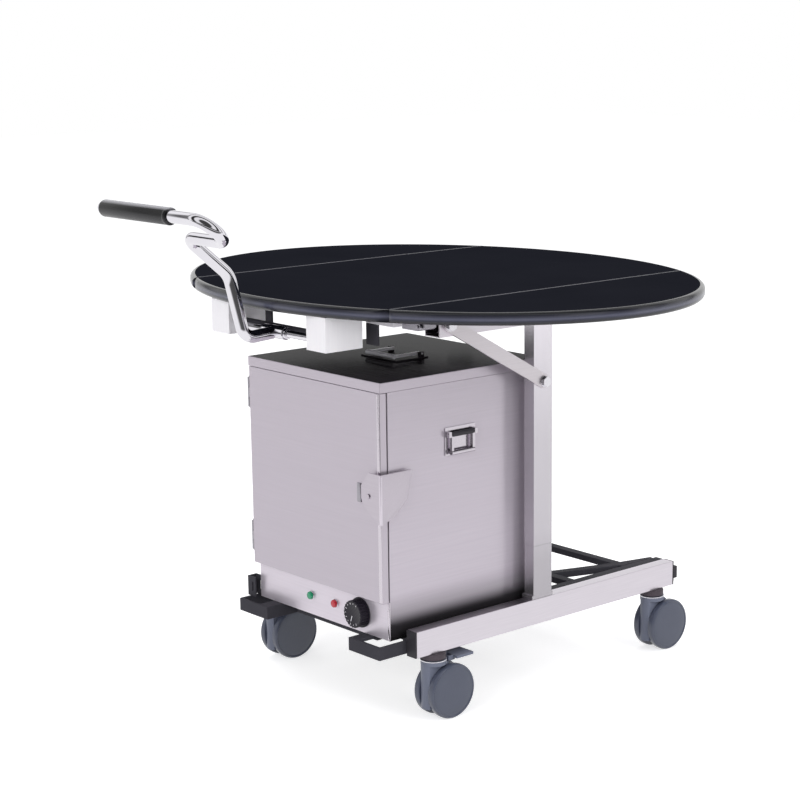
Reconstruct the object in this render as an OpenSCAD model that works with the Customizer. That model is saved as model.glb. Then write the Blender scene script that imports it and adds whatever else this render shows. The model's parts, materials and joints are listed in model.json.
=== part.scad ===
// Room service table: a folding oval table on a C-shaped trolley that carries a heated food box.
// Every place is measured from the middle of the table, X along the front, Y away from the
// waiter's handle, Z up from the floor; table_y then centres the whole object front to back.

/* [Table top] */
// Length of the oval top, leaves up
table_len = 1070; // [900:1:1200]
// Width of the oval top
table_wid = 860; // [760:1:900]
// Height of the table surface above the floor
table_h = 746; // [740:1:780]
// Thickness of the board
board_t = 22; // [18:1:26]
// Squareness of the oval, 2 is an ellipse
oval_power = 2; // [2:0.1:2.6]
// Distance of each fold line from the middle
seam_x = 278; // [270:1:300]
// Gap between two leaves at the fold line
seam_gap = 1.2; // [0.8:0.1:2]
// Width of the moulded edging round the board
edging_w = 9; // [6:0.5:14]
// Distance of the leaf hinges from the middle, front and rear
hinge_y = 280; // [270:1:320]
// Drop of the leaf hinge pins below the board
hinge_drop = 14; // [12:0.5:18]

/* [Trolley frame] */
// Outer face of the side rail
rail_x = 266; // [262:1:275]
// Width of the side rail and of the post
rail_w = 25; // [22:1:30]
// Height of the side rail
rail_h = 48; // [40:1:56]
// Length of the side rail
rail_len = 659; // [600:1:700]
// Front end of the side rail, measured forward of the table middle
rail_front = 296; // [280:1:310]
// Depth of the post, front to back
post_d = 46; // [40:1:50]
// Middle of the post behind the table middle
post_y = 8; // [0:1:14]
// Height of the welded stub that the post stands on
stub_h = 101; // [80:1:120]
// Wall of the frame tubes
tube_wall = 2; // [1.5:0.5:3]
// Width of the beam under the table
beam_w = 38; // [34:1:42]
// Height of the beam under the table
beam_h = 41; // [36:1:46]
// Length of the beam, half each side of the table middle
beam_len = 476; // [420:1:520]
// Width of the diagonal strut
strut_w = 25; // [20:1:30]
// Thickness of the diagonal strut
strut_t = 5; // [4:0.5:6]
// Lower bolt of the strut below the board
strut_drop = 147; // [130:1:165]
// Width of the black base bars
bar_w = 20; // [16:1:24]
// Height of the black base bars
bar_h = 24; // [20:1:28]
// Width of each front hoop of the base
hoop_w = 86; // [76:1:92]
// Reach of the hoops in front of the box door
hoop_reach = 22; // [16:1:30]
// Thickness of the flat bar that the hoops are bent from
hoop_t = 5; // [4:0.5:8]

// Width of the leg of each hoop that runs back under the box
leg_w = 28; // [24:1:34]
// Height of the rear cross bars and the diagonal
rear_bar_h = 12; // [10:1:16]

/* [Heated box] */
// Width of the box
box_w = 379; // [360:1:384]
// Depth of the box body without the door
box_d = 364; // [340:1:372]
// Clear height between the box and the handle housings over it
box_clear = 52; // [44:1:90]
// Right side of the box, measured from the table middle
box_right = 226; // [220:1:229]
// Front of the box body, measured forward of the table middle
box_front = 322; // [316:1:330]
// Thickness of the door
door_t = 14; // [12:1:20]
// Compressed thickness of the door gasket
gasket_t = 1.7; // [1.2:0.1:2.5]
// Height of the band round the top cover
band_h = 18; // [14:1:24]
// Height of the control panel under the door
panel_h = 69.5; // [66:0.5:80]
// Thickness of the outer sheet
sheet_t = 1.5; // [1:0.1:2]
// Thickness of the insulation behind the liner
lagging_t = 18; // [14:1:24]
// Diameter of the thermostat dial
knob_d = 55; // [44:1:58]
// Diameter of the lamp bezels
lamp_d = 15; // [12:1:18]

/* [Push handle] */
// Diameter of the handle tube
tube_d = 22; // [19:1:25]
// Diameter of the grip
grip_d = 30; // [27:1:34]
// Length of the grip
grip_len = 200; // [190:1:240]
// Diameter of the pivot rod
rod_d = 13; // [12:1:18]
// Pivot rod below the board
rod_drop = 44; // [40:1:46]
// Pivot rod, measured forward of the table middle
rod_front = 385; // [380:1:390]
// Clear distance between the two rod housings
housing_gap = 226; // [200:1:240]
// Width of each rod housing
housing_w = 53; // [50:1:64]
// Depth of each rod housing
housing_d = 80; // [70:1:90]
// Height of each rod housing
housing_h = 60; // [56:1:66]

/* [Castors] */
// Diameter of the castor wheels
wheel_d = 100; // [90:1:102]
// Width of each of the twin wheels
wheel_w = 14.5; // [12:0.5:18]
// Distance between the stem and the axle
trail = 25; // [20:1:30]
// Diameter of the mounting cap
cap_d = 45; // [40:1:50]
// Height of the mounting cap
cap_h = 12; // [10:1:14]
// Front stems, measured forward of the table middle
stem_front = 248; // [235:1:262]
// Rear stems behind the table middle
stem_rear = 317; // [300:1:330]
// Left stems, measured from the table middle
stem_left = 205; // [198:1:215]

/* [Hidden] */
$fn = 48;

// Clearances
run_gap = 0.05;      // radial clearance of a pin or shaft that turns
seat_gap = 0.1;      // clearance of a pushed-on or dropped-in piece
move_gap = 0.5;      // clearance between pieces that pass each other

// Table
leaf_rx = table_len / 2;
leaf_ry = table_wid / 2;
board_z = table_h - board_t;
hinge_z = board_z - hinge_drop;
oval_steps = 120;

// Push handle: the tube leaves the rod a little downwards, turns up past the table's edge,
// leans forward, and ends in a level run, a U-turn and the grip
rod_z = board_z - rod_drop;
start_angle = -4;
low_turn = 80;
lean_turn = 36;
slope = start_angle + low_turn - lean_turn;
low_r = 25;
lean_r = 45;
side_r = 28;
turn_r = 31;
root_len = 47;
riser_len = 81;
slope_len = 69;
run_len = 67;
handle_steps = [[root_len, low_r, low_turn, 0], [riser_len, lean_r, lean_turn, 180],
                [slope_len, side_r, 90, 90], [run_len, turn_r, 180, 180]];
grip_gap = 64;       // bare tube between the U-turn and the grip
tip_len = 10;
steep = start_angle + low_turn;
grip_reach = rod_front + root_len * cos(start_angle) + low_r * (sin(steep) - sin(start_angle))
    + riser_len * cos(steep) + lean_r * (sin(steep) - sin(slope))
    + (slope_len + side_r + 2 * turn_r) * cos(slope) + grip_d / 2;
table_y = (grip_reach - leaf_ry) / 2;

// Castors
mount_z = wheel_d / 2 + 74;       // top of the mounting caps
neck_d = 46;
core_w = 24;                      // plate and nose between the twin wheels
nose_z = 22;                      // the nose runs down from the neck to here
axle_d = 10;
stem_d = 12;
neck_top = mount_z - cap_h - move_gap;
neck_z = wheel_d + 2;             // neck and pedal run just over the wheels
stem_right = rail_x - rail_w / 2;
stems = [[stem_right, -stem_front], [-stem_left, -stem_front],
         [stem_right, stem_rear], [-stem_left, stem_rear]];
pedal_y = 29;
pedal_pin_d = 4;
lug_w = 12;

// Frame
rail_z = mount_z;                 // bottom of the rail
rail_top = rail_z + rail_h;
rail_in = rail_x - rail_w;
rail_rear = rail_len - rail_front;
plate_t = 4;
bar_z = rail_z + plate_t;         // bottom of the black bars
bar_top = bar_z + bar_h;
beam_z = board_z - beam_h;
beam_in = rail_x - beam_w;
cross_tube = 24;
cross_tube_y = [-150, 170];
cross_end = seam_x - 18;
deck_top = rail_top;              // top of the rear bars, level with the rail
cross_a_y = 276;
thin_from = 150;                  // right of here the front cross bar is a flat plate
cross_c_y = 125;
bolt_af = 17;
bolt_shank = 8;
strut_low = [post_y, board_z - strut_drop];
strut_angle = 29.4;
strut_high_z = beam_z + beam_h / 2;
strut_high = [strut_low[0] - (strut_high_z - strut_low[1]) / tan(strut_angle), strut_high_z];

// Box
box_z = bar_top;
box_top = board_z - housing_h - box_clear;
box_left = box_right - box_w;
box_mid = (box_left + box_right) / 2;
box_rear = box_d - box_front;
band_z = box_top - band_h;
door_back = box_front + 0.3 + gasket_t;   // forward distance of the door's rear face
door_front = door_back + door_t;
door_z = box_z + panel_h + move_gap;
door_top = band_z - move_gap - 0.1;
door_left = box_left + 2;
door_right = box_right - 1;
liner_gap = sheet_t + lagging_t;
liner_t = 1;
liner_left = box_left + liner_gap;
liner_right = box_right - liner_gap;
liner_z = box_z + panel_h + liner_gap;
liner_top = box_top - liner_gap - sheet_t;
liner_rear = box_rear - liner_gap;
hoop_front = door_front + hoop_reach;
bars_left = box_left + 2;                 // the box sits on the inner edges of the side bars
bars_right = rail_in;

// Door hinge
pin_d = 4;
barrel_d = 9;
door_axis = [box_left - 5.5, -(door_back + door_t / 2)];
door_hinge_z = [door_z + 50, door_top - 50];
knuckle_h = 18;

// Panel fittings
panel_mid_z = box_z + panel_h / 2 + 1;
knob_x = box_right - 80;
green_x = box_left + 156;
red_x = green_x + 70;
knob_grip_d = knob_d - 5;
knob_h = 18;
dial_shaft = 6;
bush_d = 9;
lamp_hole = 10;
lift = 0.3;          // running gap behind the dial

// Box handles
side_plate = [71, 50];
side_handle = [-(box_front - 164), box_top - 123];
ear_w = 6;
bail_d = 8.5;
bail_pin = 4;
plate_sheet = 2;
bail_out = 7.5;      // pin height over the box side
top_plate = [101, 75];
top_handle_y = -(box_front - 175);

module on_table() translate([0, table_y, 0]) children();

// Solid between two corners
module block(a, b) translate(a) cube(b - a);

// Rod along X, Y or Z between two values of that coordinate
module rod_x(x0, x1, y, z, d) translate([x0, y, z]) rotate([0, 90, 0]) cylinder(h = x1 - x0, d = d);
module rod_y(x, y0, y1, z, d) translate([x, y0, z]) rotate([-90, 0, 0]) cylinder(h = y1 - y0, d = d);
module rod_z(x, y, z0, z1, d) translate([x, y, z0]) cylinder(h = z1 - z0, d = d);

// Rectangular tube along Y, open at both ends
module tube_y(a, b, wall) {
    difference() {
        block(a, b);
        block([a[0] + wall, a[1] - 1, a[2] + wall], [b[0] - wall, b[1] + 1, b[2] - wall]);
    }
}

// ---- bent round tube ----
// Bend of a round tube that starts at the origin along +Z and turns towards +X
module bend(r, angle, d) {
    translate([r, 0, 0]) rotate([90, 0, 0]) rotate([0, 0, 180 - angle])
        rotate_extrude(angle = angle) translate([r, 0]) circle(d = d);
}

// Fine ring that closes the joint between a bend and a straight
ring_h = 1;
ring_out = 0.3;
module joint_ring(d) translate([0, 0, -ring_h / 2]) cylinder(h = ring_h, d = d + ring_out);

// Tube from the origin along +Z; each step is [straight length, bend radius, bend angle, roll
// before the bend]; children stand at its end, and with d = 0 only they are drawn
module bent_tube(steps, d, i = 0) {
    if (i < len(steps)) {
        length = steps[i][0];
        r = steps[i][1];
        angle = steps[i][2];
        if (d > 0) cylinder(h = length, d = d);
        translate([0, 0, length]) rotate([0, 0, steps[i][3]]) {
            if (d > 0) {
                joint_ring(d);
                bend(r, angle, d);
            }
            translate([r * (1 - cos(angle)), 0, r * sin(angle)]) rotate([0, angle, 0]) {
                if (d > 0) joint_ring(d);
                bent_tube(steps, d, i + 1) children();
            }
        }
    } else {
        children();
    }
}

// ---- table top ----
function signed_power(v, e) = sign(v) * pow(abs(v), e);
function oval(rx, ry) = [for (i = [0 : oval_steps - 1])
    let (a = 360 * i / oval_steps)
    [rx * signed_power(cos(a), 2 / oval_power), ry * signed_power(sin(a), 2 / oval_power)]];

module oval_slab(inset) {
    translate([0, 0, board_z])
        linear_extrude(board_t) polygon(oval(leaf_rx - inset, leaf_ry - inset));
}

// Keeps the part of a slab that belongs to the leaf between two X values
module between_x(x0, x1) {
    intersection() {
        children();
        block([x0, -leaf_ry - 1, board_z - 1], [x1, leaf_ry + 1, table_h + 1]);
    }
}

leaf_in = seam_x + seam_gap / 2;
leaf_end = leaf_rx + 1;
centre_in = seam_x - seam_gap / 2;

module board(x0, x1) color("#1c1d23") on_table() between_x(x0, x1) oval_slab(edging_w + seat_gap);

module edging(x0, x1) {
    color("#0f1018") on_table() between_x(x0, x1) difference() {
        oval_slab(0);
        translate([0, 0, board_z - 1])
            linear_extrude(board_t + 2) polygon(oval(leaf_rx - edging_w, leaf_ry - edging_w));
    }
}

module centre_leaf() board(-centre_in, centre_in);
module right_leaf() board(leaf_in, leaf_end);
module left_leaf() board(-leaf_end, -leaf_in);
module centre_edging() edging(-centre_in, centre_in);
module right_edging() edging(leaf_in, leaf_end);
module left_edging() edging(-leaf_end, -leaf_in);

// Leaf hinge seen along +X from the middle; side is 1 on the right, -1 on the left
hinge_w = 34;
cheek_t = 4;
hinge_pin = 6;
hinge_plate_t = 3;
knuckle_d = 14;
hinge_reach = 42;    // reach of the plates under the side leaves

module each_hinge(side) {
    for (y = [-hinge_y, hinge_y]) translate([0, y, 0]) rotate([0, 0, side > 0 ? 0 : 180]) children();
}

module hinge_bracket() {
    // mounting plate under the centre leaf, with two cheeks that hold the pin
    block([seam_x - 145, -hinge_w / 2, board_z - hinge_plate_t], [seam_x - 10, hinge_w / 2, board_z]);
    for (s = [-1, 1]) translate([0, s * (hinge_w - cheek_t) / 2, 0]) {
        difference() {
            union() {
                block([seam_x - 40, -cheek_t / 2, hinge_z - knuckle_d / 2],
                      [seam_x, cheek_t / 2, board_z - hinge_plate_t]);
                rod_y(seam_x, -cheek_t / 2, cheek_t / 2, hinge_z, knuckle_d);
            }
            block([seam_x - 5, -cheek_t, hinge_z + knuckle_d / 2 + 0.01],
                  [seam_x + 9, cheek_t, board_z]);
        }
    }
    rod_y(seam_x, -hinge_w / 2 - 2, hinge_w / 2 + 2, hinge_z, hinge_pin);
}

module hinge_brackets() {
    color("#b4b2b6") on_table() for (side = [-1, 1]) each_hinge(side) hinge_bracket();
}

// White plastic guide block under each bracket
block_in = seam_x - 141;
block_len = 75;
block_h = 20;
module hinge_blocks() {
    color("#f8f6fa") on_table() for (side = [-1, 1]) each_hinge(side)
        block([block_in, -hinge_w / 2 + 3, board_z - hinge_plate_t - block_h],
              [block_in + block_len, hinge_w / 2 - 3, board_z - hinge_plate_t]);
}

module hinge_plate() {
    knuckle_w = hinge_w - 2 * cheek_t - 2 * move_gap;
    difference() {
        union() {
            rod_y(seam_x, -knuckle_w / 2, knuckle_w / 2, hinge_z, knuckle_d);
            block([seam_x + 2, -knuckle_w / 2, hinge_z - 2],
                  [seam_x + knuckle_d, knuckle_w / 2, board_z]);
            block([seam_x + 8, -hinge_w / 2, board_z - hinge_plate_t],
                  [seam_x + hinge_reach, hinge_w / 2, board_z]);
        }
        rod_y(seam_x, -hinge_w, hinge_w, hinge_z, hinge_pin + 2 * run_gap);
    }
}

module hinge_plates(side) color("#b4b2b6") on_table() each_hinge(side) hinge_plate();
module hinge_plates_right() hinge_plates(1);
module hinge_plates_left() hinge_plates(-1);

// ---- trolley frame ----
module rail_right() {
    color("#d7d1da") on_table()
        tube_y([rail_in, -rail_front, rail_z], [rail_x, rail_rear, rail_top], tube_wall);
}

module rail_end_caps() {
    inner = tube_wall + seat_gap;
    color("#2a2a2e") on_table() for (end = [[-rail_front, -1], [rail_rear, 1]]) {
        y0 = end[0];
        s = end[1];
        block([rail_in, min(y0, y0 + 3 * s), rail_z], [rail_x, max(y0, y0 + 3 * s), rail_top]);
        block([rail_in + inner, min(y0, y0 - 15 * s), rail_z + inner],
              [rail_x - inner, max(y0, y0 - 15 * s), rail_top - inner]);
        if (s > 0) block([rail_in + 4, y0 + 2, rail_z + 12], [rail_x - 1, y0 + 14, rail_z + 36]);
    }
}

post_x0 = rail_x - rail_w;
post_y0 = post_y - post_d / 2;
post_y1 = post_y + post_d / 2;
stub_top = rail_top + stub_h;
spigot_h = 60;

// Welded stub with the spigot that the post slides over
module post_foot() {
    inner = tube_wall + seat_gap;
    color("#b9b3bd") on_table() {
        block([post_x0, post_y0, rail_top], [rail_x, post_y1, stub_top]);
        block([post_x0 + inner, post_y0 + inner, stub_top],
              [rail_x - inner, post_y1 - inner, stub_top + spigot_h]);
        block([post_x0 - 3, post_y0 - 3, rail_top], [rail_x, post_y1 + 3, rail_top + 8]);
    }
}

module post_tube() {
    color("#cec8d1") on_table() difference() {
        block([post_x0, post_y0, stub_top], [rail_x, post_y1, beam_z]);
        block([post_x0 + tube_wall, post_y0 + tube_wall, stub_top - 1],
              [rail_x - tube_wall, post_y1 - tube_wall, beam_z - 4]);
        rod_x(post_x0 - 1, rail_x + 1, strut_low[0], strut_low[1], bolt_shank + 2 * seat_gap);
    }
}

// Flat diagonal strut on the outer faces of the post and the beam
module strut() {
    span = norm(strut_high - strut_low);
    color("#cdc7cb") on_table() translate([rail_x, strut_low[0], strut_low[1]])
        rotate([90, 0, 90]) rotate([0, 0, 180 - strut_angle]) difference() {
            union() {
                block([0, -strut_w / 2, 0], [span, strut_w / 2, strut_t]);
                for (x = [0, span]) translate([x, 0, 0]) cylinder(h = strut_t, d = strut_w);
            }
            for (x = [0, span]) translate([x, 0, -1])
                cylinder(h = strut_t + 2, d = bolt_shank + 2 * seat_gap);
        }
}

module strut_bolts() {
    color("#c8c6cc") on_table() for (p = [strut_low, strut_high]) {
        back = p == strut_low ? post_x0 : rail_x - tube_wall;
        head_x = rail_x + strut_t;
        rod_x(back - 8, head_x + 1.5, p[0], p[1], bolt_shank);
        rod_x(head_x, head_x + 1.5, p[0], p[1], bolt_af + 4);
        translate([head_x + 1.5, p[0], p[1]]) rotate([0, 90, 0])
            cylinder(h = 5, d = bolt_af / cos(30), $fn = 6);
        translate([back - 7, p[0], p[1]]) rotate([0, 90, 0])
            cylinder(h = 7, d = bolt_af / cos(30), $fn = 6);
    }
}

// Beam on the post, with the square tubes that run from it under the centre leaf
module table_frame() {
    color("#c9c3cc") on_table() {
        table_beam();
        cross_tubes();
    }
}

module table_beam() {
    half = beam_len / 2;
    difference() {
        tube_y([beam_in, -half, beam_z], [rail_x, half, board_z], tube_wall);
        rod_x(rail_x - tube_wall - 1, rail_x + 1, strut_high[0], strut_high[1],
              bolt_shank + 2 * seat_gap);
    }
}

module cross_tubes() {
    for (y = cross_tube_y) difference() {
        block([-cross_end, y, board_z - cross_tube], [beam_in, y + cross_tube, board_z]);
        block([-cross_end - 1, y + tube_wall, board_z - cross_tube + tube_wall],
              [beam_in + 1, y + cross_tube - tube_wall, board_z - tube_wall]);
    }
}

// Black base: each side bar is doubled behind the box and ends in a hoop at its front corner;
// plates under the left one carry its castors
module base_sides() {
    color("#4a4a4e") on_table() {
        for (x = [bars_left - bar_w, bars_right - bar_w]) {
            block([x, -box_front + 31, bar_z], [x + bar_w, rail_rear - bar_w, bar_top]);
            block([x, box_rear + 14, bar_top], [x + bar_w, rail_rear - bar_w, deck_top]);
        }
        front_hoop(bars_left - bar_w, bars_left - bar_w, bars_left - bar_w + hoop_w - leg_w, bar_z);
        front_hoop(bars_right - hoop_w, bars_right - hoop_t, bars_right - hoop_w, bar_top - hoop_t);
        for (y = [-stem_front, stem_rear])
            block([-stem_left - cap_d / 2 - 3, y - 30, rail_z], [bars_left, y + 30, bar_z]);
    }
}

// Hoop of flat bar from x, with its outer side at side_x and its square inner leg
module front_hoop(x, side_x, leg_x, leg_z) {
    block([x, -hoop_front, bar_z], [x + hoop_w, -hoop_front + hoop_t, bar_top]);
    block([side_x, -hoop_front, bar_z], [side_x + hoop_t, -box_front + 32, bar_top]);
    block([leg_x, -hoop_front, leg_z], [leg_x + leg_w, -box_front + 31, bar_top]);
}

// A square bar with one bend, mitred where it bends
module bent_bar(from, via, to, z0, z1) {
    first = (via - from) / norm(via - from);
    second = (to - via) / norm(to - via);
    side_1 = bar_w / 2 * [-first[1], first[0]];
    side_2 = bar_w / 2 * [-second[1], second[0]];
    mitre = (side_1 + side_2) / (1 + first * second);
    translate([0, 0, z0]) linear_extrude(z1 - z0)
        polygon([from + side_1, via + mitre, to + side_2, to - side_2, via - mitre, from - side_1]);
}

// Bars across the base, and a bent diagonal from the middle one through the rear one to the rail
module cross_bars() {
    left = bars_left;
    right = bars_right - bar_w;
    foot = [153, cross_c_y];
    knee = [203, cross_a_y - 6];
    end = [right + 2, rail_rear - bar_w / 2];
    color("#4a4a4e") on_table() {
        block([left, -box_front + 31, bar_z], [thin_from, -box_front + 31 + bar_w, bar_top]);
        block([thin_from - 1, -box_front + 31, bar_top - hoop_t], [right, -box_front + 31 + bar_w, bar_top]);
        block([left, -30, bar_z], [right, -30 + bar_w, bar_top]);
        for (y = [cross_a_y, cross_c_y])
            block([left, y - bar_w / 2, deck_top - rear_bar_h], [right, y + bar_w / 2, deck_top]);
        difference() {
            bent_bar(foot, knee, end, deck_top - rear_bar_h, deck_top);
            block([right, box_rear, bar_z], [bars_right + bar_w, rail_rear - bar_w, rail_top + 1]);
        }
        block([right, rail_rear - bar_w, deck_top - bar_h], [bars_right, rail_rear, deck_top]);
    }
}

// Slotted stops that keep the box in place, standing on the left side bar
module box_stops() {
    x0 = bars_left - bar_w - 6;
    y0 = -box_front - 14;
    depth = 20;
    color("#3c3c40") on_table() {
        difference() {
            block([x0, y0, bar_top], [box_left - 0.3, y0 + depth, bar_top + 38]);
            block([x0 + 3, y0 + 3, bar_top - 1], [box_left, y0 + depth - 3, bar_top + 39]);
            block([x0 + 13, y0 - 1, bar_top + 10], [x0 + 17, y0 + depth + 1, bar_top + 28]);
        }
        block([bars_left - bar_w, box_rear + 3, bar_top], [box_left - 0.3, box_rear + 6, bar_top + 38]);
    }
}

// ---- push handle ----
hub_len = 60;
hub_d = rod_d + 10;

// Start of the tube on the rod, +Z along the tube and +X upwards
module at_rod() {
    translate([0, -rod_front, rod_z]) rotate([90, 0, 0]) rotate([0, 0, 90])
        rotate([0, start_angle, 0]) children();
}

module handle_tube() {
    color("#cfcfd4") on_table() difference() {
        union() {
            at_rod() bent_tube(handle_steps, tube_d) cylinder(h = grip_gap + grip_len - 4, d = tube_d);
            rod_x(-hub_len / 2, hub_len / 2, -rod_front, rod_z, hub_d);
        }
        rod_x(-hub_len, hub_len, -rod_front, rod_z, rod_d + 2 * run_gap);
    }
}

// Grip sleeve over the end of the tube, with its closed metal tip
module handle_grip() {
    color("#45444b") on_table() at_rod() bent_tube(handle_steps, 0) difference() {
        union() {
            translate([0, 0, grip_gap]) cylinder(h = grip_len, d = grip_d);
            translate([0, 0, grip_gap + grip_len]) cylinder(h = tip_len, d = grip_d - 6);
        }
        translate([0, 0, grip_gap - 1])
            cylinder(h = grip_len - 3 + seat_gap, d = tube_d + 2 * seat_gap);
    }
}

// Two sheet housings under the front of the centre leaf hold the rod
module handle_housings() {
    z0 = board_z - housing_h;
    y0 = -rod_front - 20;
    color("#c6c0c8") on_table() for (s = [-1, 1]) {
        x0 = s > 0 ? housing_gap / 2 : -housing_gap / 2 - housing_w;
        difference() {
            block([x0, y0, z0], [x0 + housing_w, y0 + housing_d, board_z]);
            block([x0 + tube_wall, y0 + tube_wall, z0 + tube_wall],
                  [x0 + housing_w - tube_wall, y0 + housing_d - tube_wall, board_z + 1]);
            rod_x(-housing_gap / 2 - 5, housing_gap / 2 + 5, -rod_front, rod_z, rod_d + 2 * seat_gap);
            rod_x(-housing_gap / 2 - 5, housing_gap / 2 + 5, lock_y, lock_z, lock_d + 2 * seat_gap);
        }
    }
}

lock_d = 11;
lock_y = -rod_front + (hub_d + lock_d) / 2 + 3;     // clear behind the tube's hub
lock_z = rod_z + 4.5;

module handle_rod() {
    reach = housing_gap / 2 + tube_wall + 12;
    color("#d9d9de") on_table() {
        rod_x(-reach, reach, -rod_front, rod_z, rod_d);
        for (s = [-1, 1]) {
            x = s * (hub_len / 2 + 3);
            rod_x(x - 2.5, x + 2.5, -rod_front, rod_z, rod_d + 6);
        }
    }
}

// Lock bar, and the black plate that hangs from each front guide block
lock_plate = [32, 4];
module lock_bar() {
    reach = housing_gap / 2 + tube_wall + 8;
    plate_y = -hinge_y - hinge_w / 2 + 3;
    color("#1e1e22") on_table() {
        rod_x(-reach, reach, lock_y, lock_z, lock_d);
        for (side = [0, 1]) mirror([side, 0, 0])
            block([block_in, plate_y, board_z - housing_h],
                  [block_in + lock_plate[0], plate_y + lock_plate[1],
                   board_z - hinge_plate_t - block_h]);
    }
}

// ---- heated box ----
module box_shell() {
    color("#c9c0ca") on_table() difference() {
        block([box_left, -box_front, box_z], [box_right, box_rear, band_z]);
        block([box_left + sheet_t, -box_front + sheet_t, box_z + sheet_t],
              [box_right - sheet_t, box_rear - sheet_t, band_z + 1]);
        block([liner_left, -box_front - 1, liner_z], [liner_right, -box_front + 2, liner_top]);
        block([box_left + sheet_t, -box_front - 1, box_z + sheet_t],
              [box_right - sheet_t, -box_front + 2, box_z + panel_h - 6]);
        rod_y(box_mid, box_rear - 5, box_rear + 5, box_z + 40, 34);
    }
}

module top_cover() {
    color("#c9c2cc") on_table() difference() {
        block([box_left, -door_front, band_z], [box_right, box_rear, box_top]);
        block([box_left + sheet_t, -box_front, band_z - 1],
              [box_right - sheet_t, box_rear - sheet_t, box_top - sheet_t]);
        block([box_left + sheet_t, -door_front + sheet_t, band_z + sheet_t],
              [box_right - sheet_t, -box_front - sheet_t, box_top - sheet_t]);
    }
}

module liner() {
    color("#bdb8bf") on_table() difference() {
        block([liner_left, -box_front + sheet_t, liner_z], [liner_right, liner_rear, liner_top]);
        block([liner_left + liner_t, -box_front - 1, liner_z + liner_t],
              [liner_right - liner_t, liner_rear - liner_t, liner_top - liner_t]);
    }
}

// Insulation slabs between the liner and the shell
module lagging() {
    g = 0.3;
    y0 = -box_front + sheet_t + g;
    y1 = box_rear - sheet_t - g;
    color("#d8d2b0") on_table() {
        block([box_left + sheet_t + g, y0, liner_z], [liner_left - g, y1, liner_top]);
        block([liner_right + g, y0, liner_z], [box_right - sheet_t - g, y1, liner_top]);
        block([liner_left + g, liner_rear + g, liner_z], [liner_right - g, y1, liner_top]);
        block([box_left + sheet_t + g, y0, liner_top + g],
              [box_right - sheet_t - g, y1, box_top - sheet_t - g]);
    }
}

// Control panel over the opening under the door, with holes for the dial and the lamps
module control_panel() {
    color("#c6c0c9") on_table() difference() {
        block([box_left, -box_front - sheet_t, box_z], [box_right, -box_front, box_z + panel_h]);
        rod_y(knob_x, -box_front - 5, -box_front + 5, panel_mid_z, bush_d + 2 * seat_gap);
        for (x = [green_x, red_x])
            rod_y(x, -box_front - 5, -box_front + 5, panel_mid_z, lamp_hole + 2 * seat_gap);
    }
}

panel_face = -box_front - sheet_t;

// Thermostat behind the panel; its bush comes through and carries the dial's shaft
module thermostat() {
    color("#8a8378") on_table() difference() {
        union() {
            block([knob_x - 22, -box_front + 3, panel_mid_z - 18],
                  [knob_x + 22, -box_front + 33, panel_mid_z + 18]);
            rod_y(knob_x, panel_face - lift, -box_front + 4, panel_mid_z, bush_d);
            rod_y(knob_x, -box_front, -box_front + 3, panel_mid_z, bush_d + 6);
        }
        rod_y(knob_x, panel_face - 2, -box_front + 18, panel_mid_z, dial_shaft + 2 * run_gap);
    }
}

// Dial with a skirt and a raised finger bar, turning on the thermostat's bush
module knob() {
    face = panel_face - 2 * lift;
    color("#221e29") on_table() {
        rod_y(knob_x, face - 3, face, panel_mid_z, knob_d);
        rod_y(knob_x, face - knob_h, face - 3, panel_mid_z, knob_grip_d);
        rod_y(knob_x, face - 0.1, -box_front + 16, panel_mid_z, dial_shaft);
        block([knob_x - 2, face - knob_h - 1.5, panel_mid_z],
              [knob_x + 2, face - knob_h, panel_mid_z + knob_grip_d / 2 - 2]);
    }
}

module lamp(x) {
    on_table() {
        rod_y(x, panel_face - 3, panel_face, panel_mid_z, lamp_d);
        rod_y(x, panel_face, -box_front + 22, panel_mid_z, lamp_hole);
        rod_y(x, panel_face - 6, panel_face - 3, panel_mid_z, lamp_d - 4);
    }
}

module green_lamp() color("#1f755d") lamp(green_x);
module red_lamp() color("#891425") lamp(red_x);

// Heating element: a hairpin rod hung under the liner floor
heater_w = 200;
heater_l = 180;
heater_r = 30;
heater_d = 8;
heater_front = 90;    // behind the front of the box
heater_clips = [50, heater_l - 20];
clip_w = 12;
module heater() {
    z = liner_z - heater_d;
    y0 = -box_front + heater_front;
    x0 = box_mid - heater_w / 2;
    leg = heater_l - heater_r;
    color("#6e6a66") on_table() {
        translate([x0, y0 + heater_l, z]) rotate([90, 0, 0])
            bent_tube([[leg, heater_r, 90, 0], [heater_w - 2 * heater_r, heater_r, 90, 0]], heater_d)
                cylinder(h = leg, d = heater_d);
        for (x = [x0, x0 + heater_w], y = heater_clips)
            block([x - clip_w / 2, y0 + y - heater_d / 2, z],
                  [x + clip_w / 2, y0 + y + heater_d / 2, liner_z]);
    }
}

shelf_levels = [liner_z + 90, liner_z + 190];
guide_levels = [liner_z + 40, liner_z + 90, liner_z + 140, liner_z + 190, liner_z + 240];
guide_reach = 14;
guide_t = 1.5;

// Ledges on both liner walls
module rack_guides() {
    color("#b7b2b9") on_table() for (z = guide_levels, side = [0, 1]) {
        wall = side == 0 ? liner_left + liner_t : liner_right - liner_t;
        x0 = side == 0 ? wall : wall - guide_reach;
        block([x0, -box_front + 20, z - guide_t], [x0 + guide_reach, liner_rear - 12, z]);
        block([side == 0 ? wall : wall - guide_t, -box_front + 20, z],
              [side == 0 ? wall + guide_t : wall, liner_rear - 12, z + 12]);
    }
}

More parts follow.
